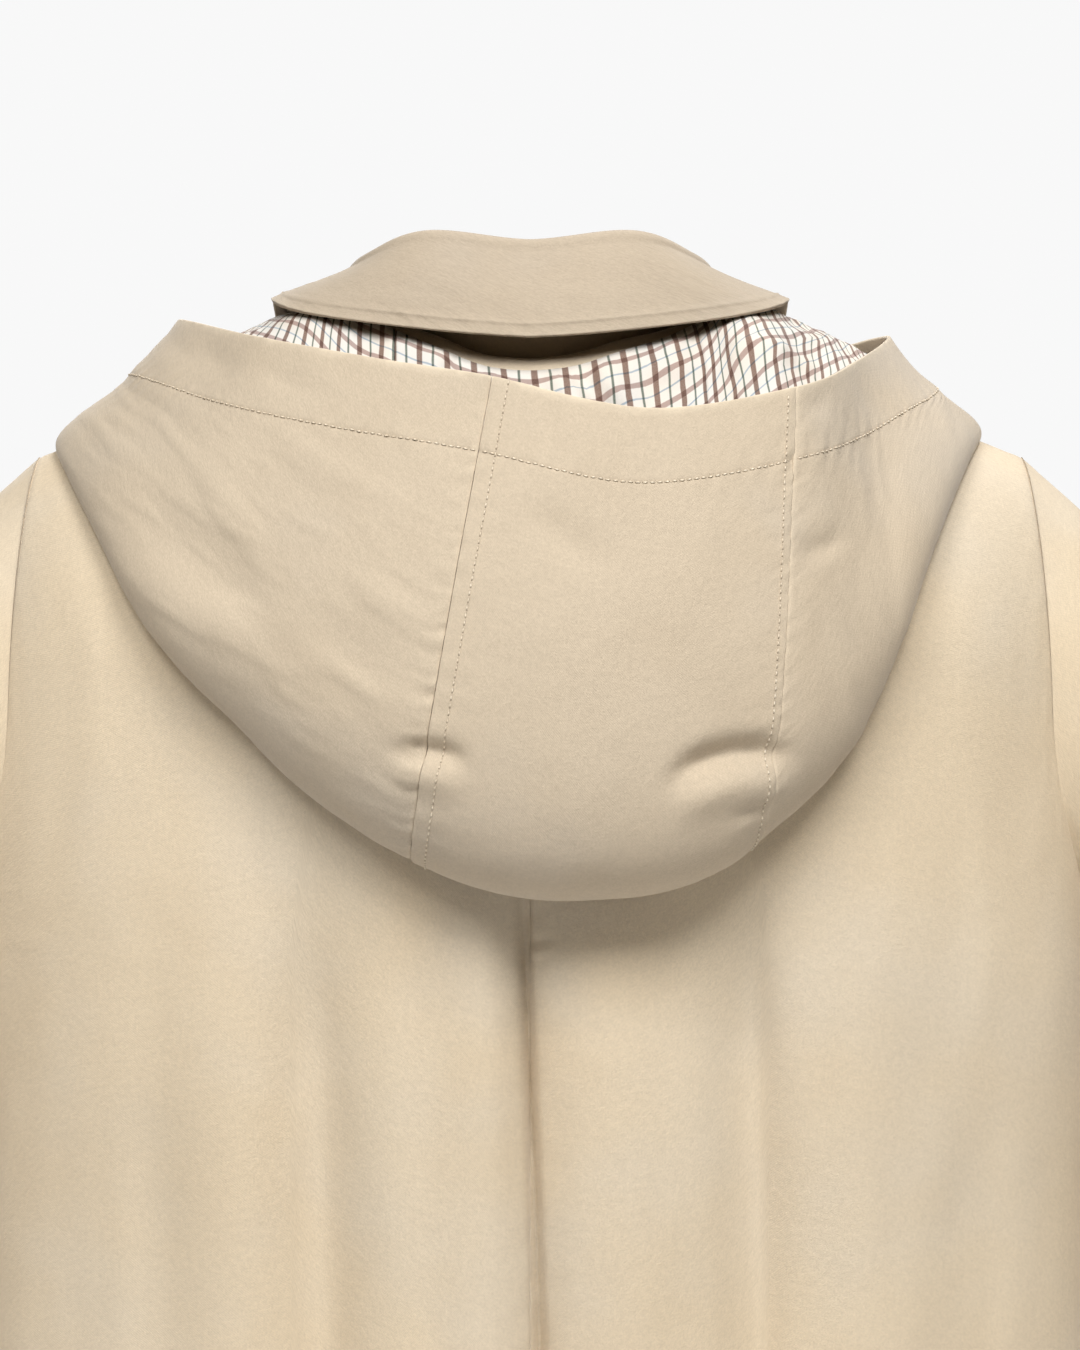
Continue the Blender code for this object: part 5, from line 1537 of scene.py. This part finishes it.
class Tree:
    """A material's nodes, written as calls: an input is a number, a colour or another output."""

    def __init__(self, name):
        self.material = bpy.data.materials.get(name) or bpy.data.materials.new(name)
        self.material.use_nodes = True
        self.nodes, self.links = self.material.node_tree.nodes, self.material.node_tree.links
        self.nodes.clear()
        self.shader = self.nodes.new("ShaderNodeBsdfPrincipled")
        self.links.new(
            self.shader.outputs[0], self.nodes.new("ShaderNodeOutputMaterial").inputs[0]
        )

    def put(self, socket, value):
        if isinstance(value, bpy.types.NodeSocket):
            self.links.new(value, socket)
        else:
            socket.default_value = value

    def math(self, operation, a, b=0.0, c=0.0):
        node = self.nodes.new("ShaderNodeMath")
        node.operation = operation
        for socket, value in zip(node.inputs, (a, b, c)):
            self.put(socket, value)
        return node.outputs[0]

    def plus(self, a, b):
        return self.math("ADD", a, b)

    def times(self, a, b, plus=None):
        """The product, or with plus that much more."""
        if plus is None:
            return self.math("MULTIPLY", a, b)
        return self.math("MULTIPLY_ADD", a, b, plus)

    def attribute(self, name):
        node = self.nodes.new("ShaderNodeAttribute")
        node.attribute_name = name
        return node.outputs["Fac"]

    def toned(self, colour, level):
        """The colour made darker to a level, the same in red, green and blue."""
        node = self.nodes.new("ShaderNodeCombineColor")
        for socket in node.inputs:
            self.put(socket, level)
        return self.mix(1.0, colour, node.outputs[0], "MULTIPLY")

    def mix(self, factor, a, b, blend="MIX"):
        node = self.nodes.new("ShaderNodeMix")
        node.data_type, node.blend_type, node.clamp_factor = "RGBA", blend, True
        self.put(node.inputs["Factor"], factor)
        for socket, value in ((node.inputs[6], a), (node.inputs[7], b)):
            self.put(socket, (*value, 1.0) if isinstance(value, tuple) else value)
        return node.outputs[2]

    def noise(self, vector, scale, detail=2.0, roughness=0.5):
        node = self.nodes.new("ShaderNodeTexNoise")
        self.put(node.inputs["Vector"], vector)
        self.put(node.inputs["Scale"], scale)
        self.put(node.inputs["Detail"], detail)
        self.put(node.inputs["Roughness"], roughness)
        return node.outputs[0]

    def ramp(self, value, low, high, to_low=0.0, to_high=1.0):
        node = self.nodes.new("ShaderNodeMapRange")
        node.interpolation_type = "SMOOTHSTEP"
        for socket, number in zip(node.inputs, (value, low, high, to_low, to_high)):
            self.put(socket, number)
        return node.outputs[0]

    def place(self):
        return self.nodes.new("ShaderNodeTexCoord").outputs["Object"]

    def cloth(self):
        """The cloth's own coordinates in metres: the vector, across and down."""
        node = self.nodes.new("ShaderNodeUVMap")
        node.uv_map = "cloth"
        split = self.nodes.new("ShaderNodeSeparateXYZ")
        self.put(split.inputs[0], node.outputs[0])
        return node.outputs[0], split.outputs[0], split.outputs[1]

    def wave(self, value, pitch):
        """A sine from 0 to 1 along the value."""
        return self.times(self.math("SINE", self.times(value, 2 * math.pi / pitch)), 0.5, 0.5)

    def line(self, value, period, offset, width):
        """1 on a stripe of that width at every period, and 0 beside it."""
        shifted = self.math("DIVIDE", self.math("SUBTRACT", value, offset), period)
        middle = self.math("ABSOLUTE", self.math("SUBTRACT", self.math("FRACT", shifted), 0.5))
        distance, edge = self.times(middle, period), width / 2
        return self.ramp(distance, edge - STRIPE_EDGE, edge + STRIPE_EDGE, 1.0, 0.0)

    def bump(self, height, metres):
        node = self.nodes.new("ShaderNodeBump")
        self.put(node.inputs["Strength"], 1.0)
        self.put(node.inputs["Distance"], metres)
        self.put(node.inputs["Height"], height)
        self.links.new(node.outputs[0], self.shader.inputs["Normal"])

    def finish(self, colour, roughness, **fixed):
        self.put(self.shader.inputs["Base Color"], colour)
        self.put(self.shader.inputs["Roughness"], roughness)
        for name, value in fixed.items():
            self.shader.inputs[name.replace("_", " ")].default_value = value
        return self.material


def cotton_twill():
    made = Tree("cotton_twill")
    uv, across, down = made.cloth()
    place, scale = made.place(), TWILL_SCALES
    drift = made.times(made.noise(uv, scale["drift"], 3.0), 0.0022)
    parts = {
        "wale": made.wave(made.plus(made.plus(across, down), drift), TWILL_PITCH),
        "threads": made.noise(uv, scale["threads"], 3.0, 0.65),
        "slubs": made.noise(uv, scale["slubs"], 4.0, 0.65),
        "wrinkles": made.noise(uv, scale["wrinkles"], 4.0, 0.6),
    }
    heights = [made.times(part, TWILL_HEIGHTS[name]) for name, part in parts.items()]
    height = heights[0]
    for more in heights[1:]:
        height = made.plus(height, more)
    made.bump(height, TWILL_RELIEF)
    patches = made.ramp(made.noise(place, scale["patches"], 4.0, 0.55), 0.35, 0.68)
    colour = made.mix(made.times(patches, 0.42), TWILL_COLOUR, TWILL_DARK)
    faded = made.ramp(made.noise(place, scale["fading"], 3.0, 0.6), 0.46, 0.72, 0.0, 0.5)
    colour = made.mix(faded, colour, TWILL_FADED)
    fine = made.times(made.ramp(parts["threads"], 0.3, 0.7), 0.14, 0.93)
    fine = made.times(fine, made.times(parts["wale"], 0.05, 0.975))
    fine = made.times(fine, made.times(made.ramp(parts["slubs"], 0.3, 0.7), 0.08, 0.96))
    colour = made.toned(colour, fine)
    # Painted shade: the hood and the collar are darkened by the share stored on their points
    colour = made.mix(made.attribute("nap"), colour, PAINTED_SHADE_COLOUR, "MULTIPLY")
    patchy = made.ramp(made.noise(place, scale["wear"], 3.0, 0.6), 0.35, 0.65, 0.35, 1.0)
    worn = made.times(made.times(made.attribute("tint"), patchy), 0.75)
    colour = made.mix(worn, colour, TWILL_WORN)
    roughness = made.times(parts["slubs"], 0.14, 0.76)
    fixed = dict(Sheen_Weight=0.18, Sheen_Roughness=0.45, Specular_IOR_Level=0.28)
    return made.finish(colour, roughness, **fixed)


def check_lining():
    """A plain generic check: two kinds of stripe across and two down, which darken each other."""
    made = Tree("check_lining")
    uv, across, down = made.cloth()
    threads = made.noise(uv, 1700.0, 2.0, 0.6)
    bent = made.times(made.noise(uv, 60.0, 1.0), 0.0012)
    across, down = made.plus(across, bent), made.plus(down, bent)
    tint = made.ramp(made.noise(uv, 30.0, 2.0), 0.35, 0.65)
    colour = made.mix(tint, LINING_GROUND, LINING_GROUND_COOL)
    for row in STRIPES:
        value = across if row.runs == "across" else down
        shown = made.line(value, row.period, row.offset, row.width)
        dyed = made.times(shown, made.times(threads, 0.4, 0.72))
        colour = made.mix(dyed, colour, row.colour, "MULTIPLY")
    colour = made.toned(colour, made.times(threads, 0.16, 0.92))
    weave = made.times(made.wave(across, LINING_PITCH), made.wave(down, LINING_PITCH))
    made.bump(made.plus(weave, threads), LINING_RELIEF)
    fixed = dict(Sheen_Weight=0.10, Sheen_Roughness=0.4, Specular_IOR_Level=0.32)
    return made.finish(colour, made.times(threads, 0.12, 0.70), **fixed)


def sewing_thread():
    made = Tree("sewing_thread")
    place = made.place()
    fuzz = made.noise(place, 2600.0, 2.0, 0.6)
    made.bump(fuzz, 0.00006)
    colour = made.mix(made.ramp(made.noise(place, 40.0), 0.3, 0.7), THREAD_COLOUR, THREAD_SHADE)
    # Painted shade: the thread is darkened where it dips into the cloth
    colour = made.mix(made.attribute("tint"), colour, THREAD_PAINTED_SHADE)
    roughness = made.times(fuzz, 0.15, 0.48)
    return made.finish(colour, roughness, Sheen_Weight=0.12, Specular_IOR_Level=0.4)


def zip_webbing():
    made = Tree("zip_tape")
    uv, across, down = made.cloth()
    bent = made.math("ABSOLUTE", made.math("SUBTRACT", across, TAPE_REACH / 2))
    ribs = made.wave(made.plus(down, bent), TAPE_RIBS)
    threads = made.noise(uv, 1600.0, 2.0, 0.6)
    made.bump(made.plus(ribs, threads), 0.00007)
    colour = made.mix(made.times(threads, 0.6, 0.1), TAPE_COLOUR, TAPE_DARK)
    roughness = made.times(threads, 0.15, 0.72)
    return made.finish(colour, roughness, Sheen_Weight=0.12, Specular_IOR_Level=0.3)


def zip_metal():
    made = Tree("zip_metal")
    place = made.place()
    grain = made.noise(place, 900.0, 3.0, 0.6)
    dulled = made.ramp(made.noise(place, 120.0, 3.0, 0.6), 0.4, 0.7)
    made.bump(grain, 0.00002)
    colour = made.mix(dulled, METAL_COLOUR, METAL_DULL)
    roughness = made.times(dulled, 0.16, made.times(grain, 0.10, 0.24))
    return made.finish(colour, roughness, Metallic=1.0)


def studio_floor():
    made = Tree("studio_floor")
    soft = made.noise(made.place(), 3.0, 3.0)
    made.bump(soft, 0.002)
    colour = made.mix(soft, FLOOR_COLOUR, FLOOR_SHADE)
    made.put(made.shader.inputs["Emission Color"], FLOOR_GLOW)
    seen = made.nodes.new("ShaderNodeLightPath").outputs["Is Camera Ray"]
    made.put(made.shader.inputs["Emission Strength"], made.times(seen, FLOOR_GLOW_STRENGTH))
    return made.finish(colour, made.times(soft, 0.1, 0.75))


# ---------------------------------------------------------------- stage


def direction(azimuth, elevation):
    """From the object towards a place round it: azimuth 0 is in front of it, 90 at its left."""
    a, e = math.radians(azimuth), math.radians(elevation)
    return Vector((math.sin(a) * math.cos(e), -math.cos(a) * math.cos(e), math.sin(e)))


def aimed(name, data, azimuth, elevation, distance):
    """A lamp or the camera, that far from the target and turned towards it."""
    made = bpy.data.objects.new(name, data)
    towards = direction(azimuth, elevation)
    made.location = Vector(VIEW_TARGET) + towards * distance
    made.rotation_mode = "QUATERNION"
    made.rotation_quaternion = towards.to_track_quat("Z", "Y")
    bpy.context.scene.collection.objects.link(made)
    return made


def stage():
    scene = bpy.context.scene
    scene.view_settings.view_transform = "Standard"
    turns = np.linspace(0, 2 * math.pi, FLOOR_SIDES, endpoint=False)
    points = [[FLOOR_RADIUS * math.cos(t), FLOOR_RADIUS * math.sin(t), -FLOOR_DROP] for t in turns]
    rim = [list(range(FLOOR_SIDES))]
    floor = mesh_object("studio_floor", np.array(points), rim, finish=studio_floor())
    floor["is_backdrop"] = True

    world = bpy.data.worlds.new("studio")
    scene.world = world
    world.use_nodes = True
    nodes, links = world.node_tree.nodes, world.node_tree.links
    ground = nodes["Background"]
    path = nodes.new("ShaderNodeLightPath")
    level = nodes.new("ShaderNodeMapRange")
    links.new(path.outputs["Is Camera Ray"], level.inputs[0])
    level.inputs[3].default_value, level.inputs[4].default_value = AMBIENT, BACKGROUND
    links.new(level.outputs[0], ground.inputs["Strength"])
    tone = nodes.new("ShaderNodeMix")
    tone.data_type = "RGBA"
    links.new(path.outputs["Is Camera Ray"], tone.inputs["Factor"])
    tone.inputs[6].default_value = (*AMBIENT_COLOUR, 1.0)
    tone.inputs[7].default_value = (1.0, 1.0, 1.0, 1.0)
    links.new(tone.outputs[2], ground.inputs["Color"])

    for light in LIGHTS:
        data = bpy.data.lights.new(light.name, "AREA")
        data.shape, data.size, data.energy = "DISK", light.size, light.power
        lamp = aimed(light.name, data, light.azimuth, light.elevation, light.distance)
        lamp.visible_camera = False

    data = bpy.data.cameras.new("camera")
    data.sensor_fit, data.sensor_width = "AUTO", SENSOR
    data.lens = SENSOR * VIEW_DISTANCE / VIEW_HEIGHT
    data.clip_start, data.clip_end = 0.05, 60.0
    scene.camera = aimed("camera", data, VIEW_AZIMUTH, VIEW_ELEVATION, VIEW_DISTANCE)


def corners(box):
    return [[round(float(value), 6) for value in corner] for corner in box]


def main():
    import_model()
    cad_box = corners(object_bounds())
    twill, check, thread = cotton_twill(), check_lining(), sewing_thread()
    webbing, metal = zip_webbing(), zip_metal()
    made = body_and_sleeves(twill, thread)
    made.update(collar(twill, thread))
    made.update(hood(twill, check, thread))
    made.update(zip_tapes(webbing))
    for name, piece in made.items():
        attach(piece, "garment")
        if name.endswith("_sewing"):
            continue
        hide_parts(name)
    zip_teeth = teeth(metal)
    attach(zip_teeth, "garment")
    for node in ("zip_slider", "zip_pull", "zip_box"):
        for place in bpy.data.objects[node].material_slots:
            place.material = metal
    for name, piece in made.items():
        if name.endswith("_sewing"):
            continue
    stage()
    {"cad": cad_box, "visual": corners(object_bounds())}


main()
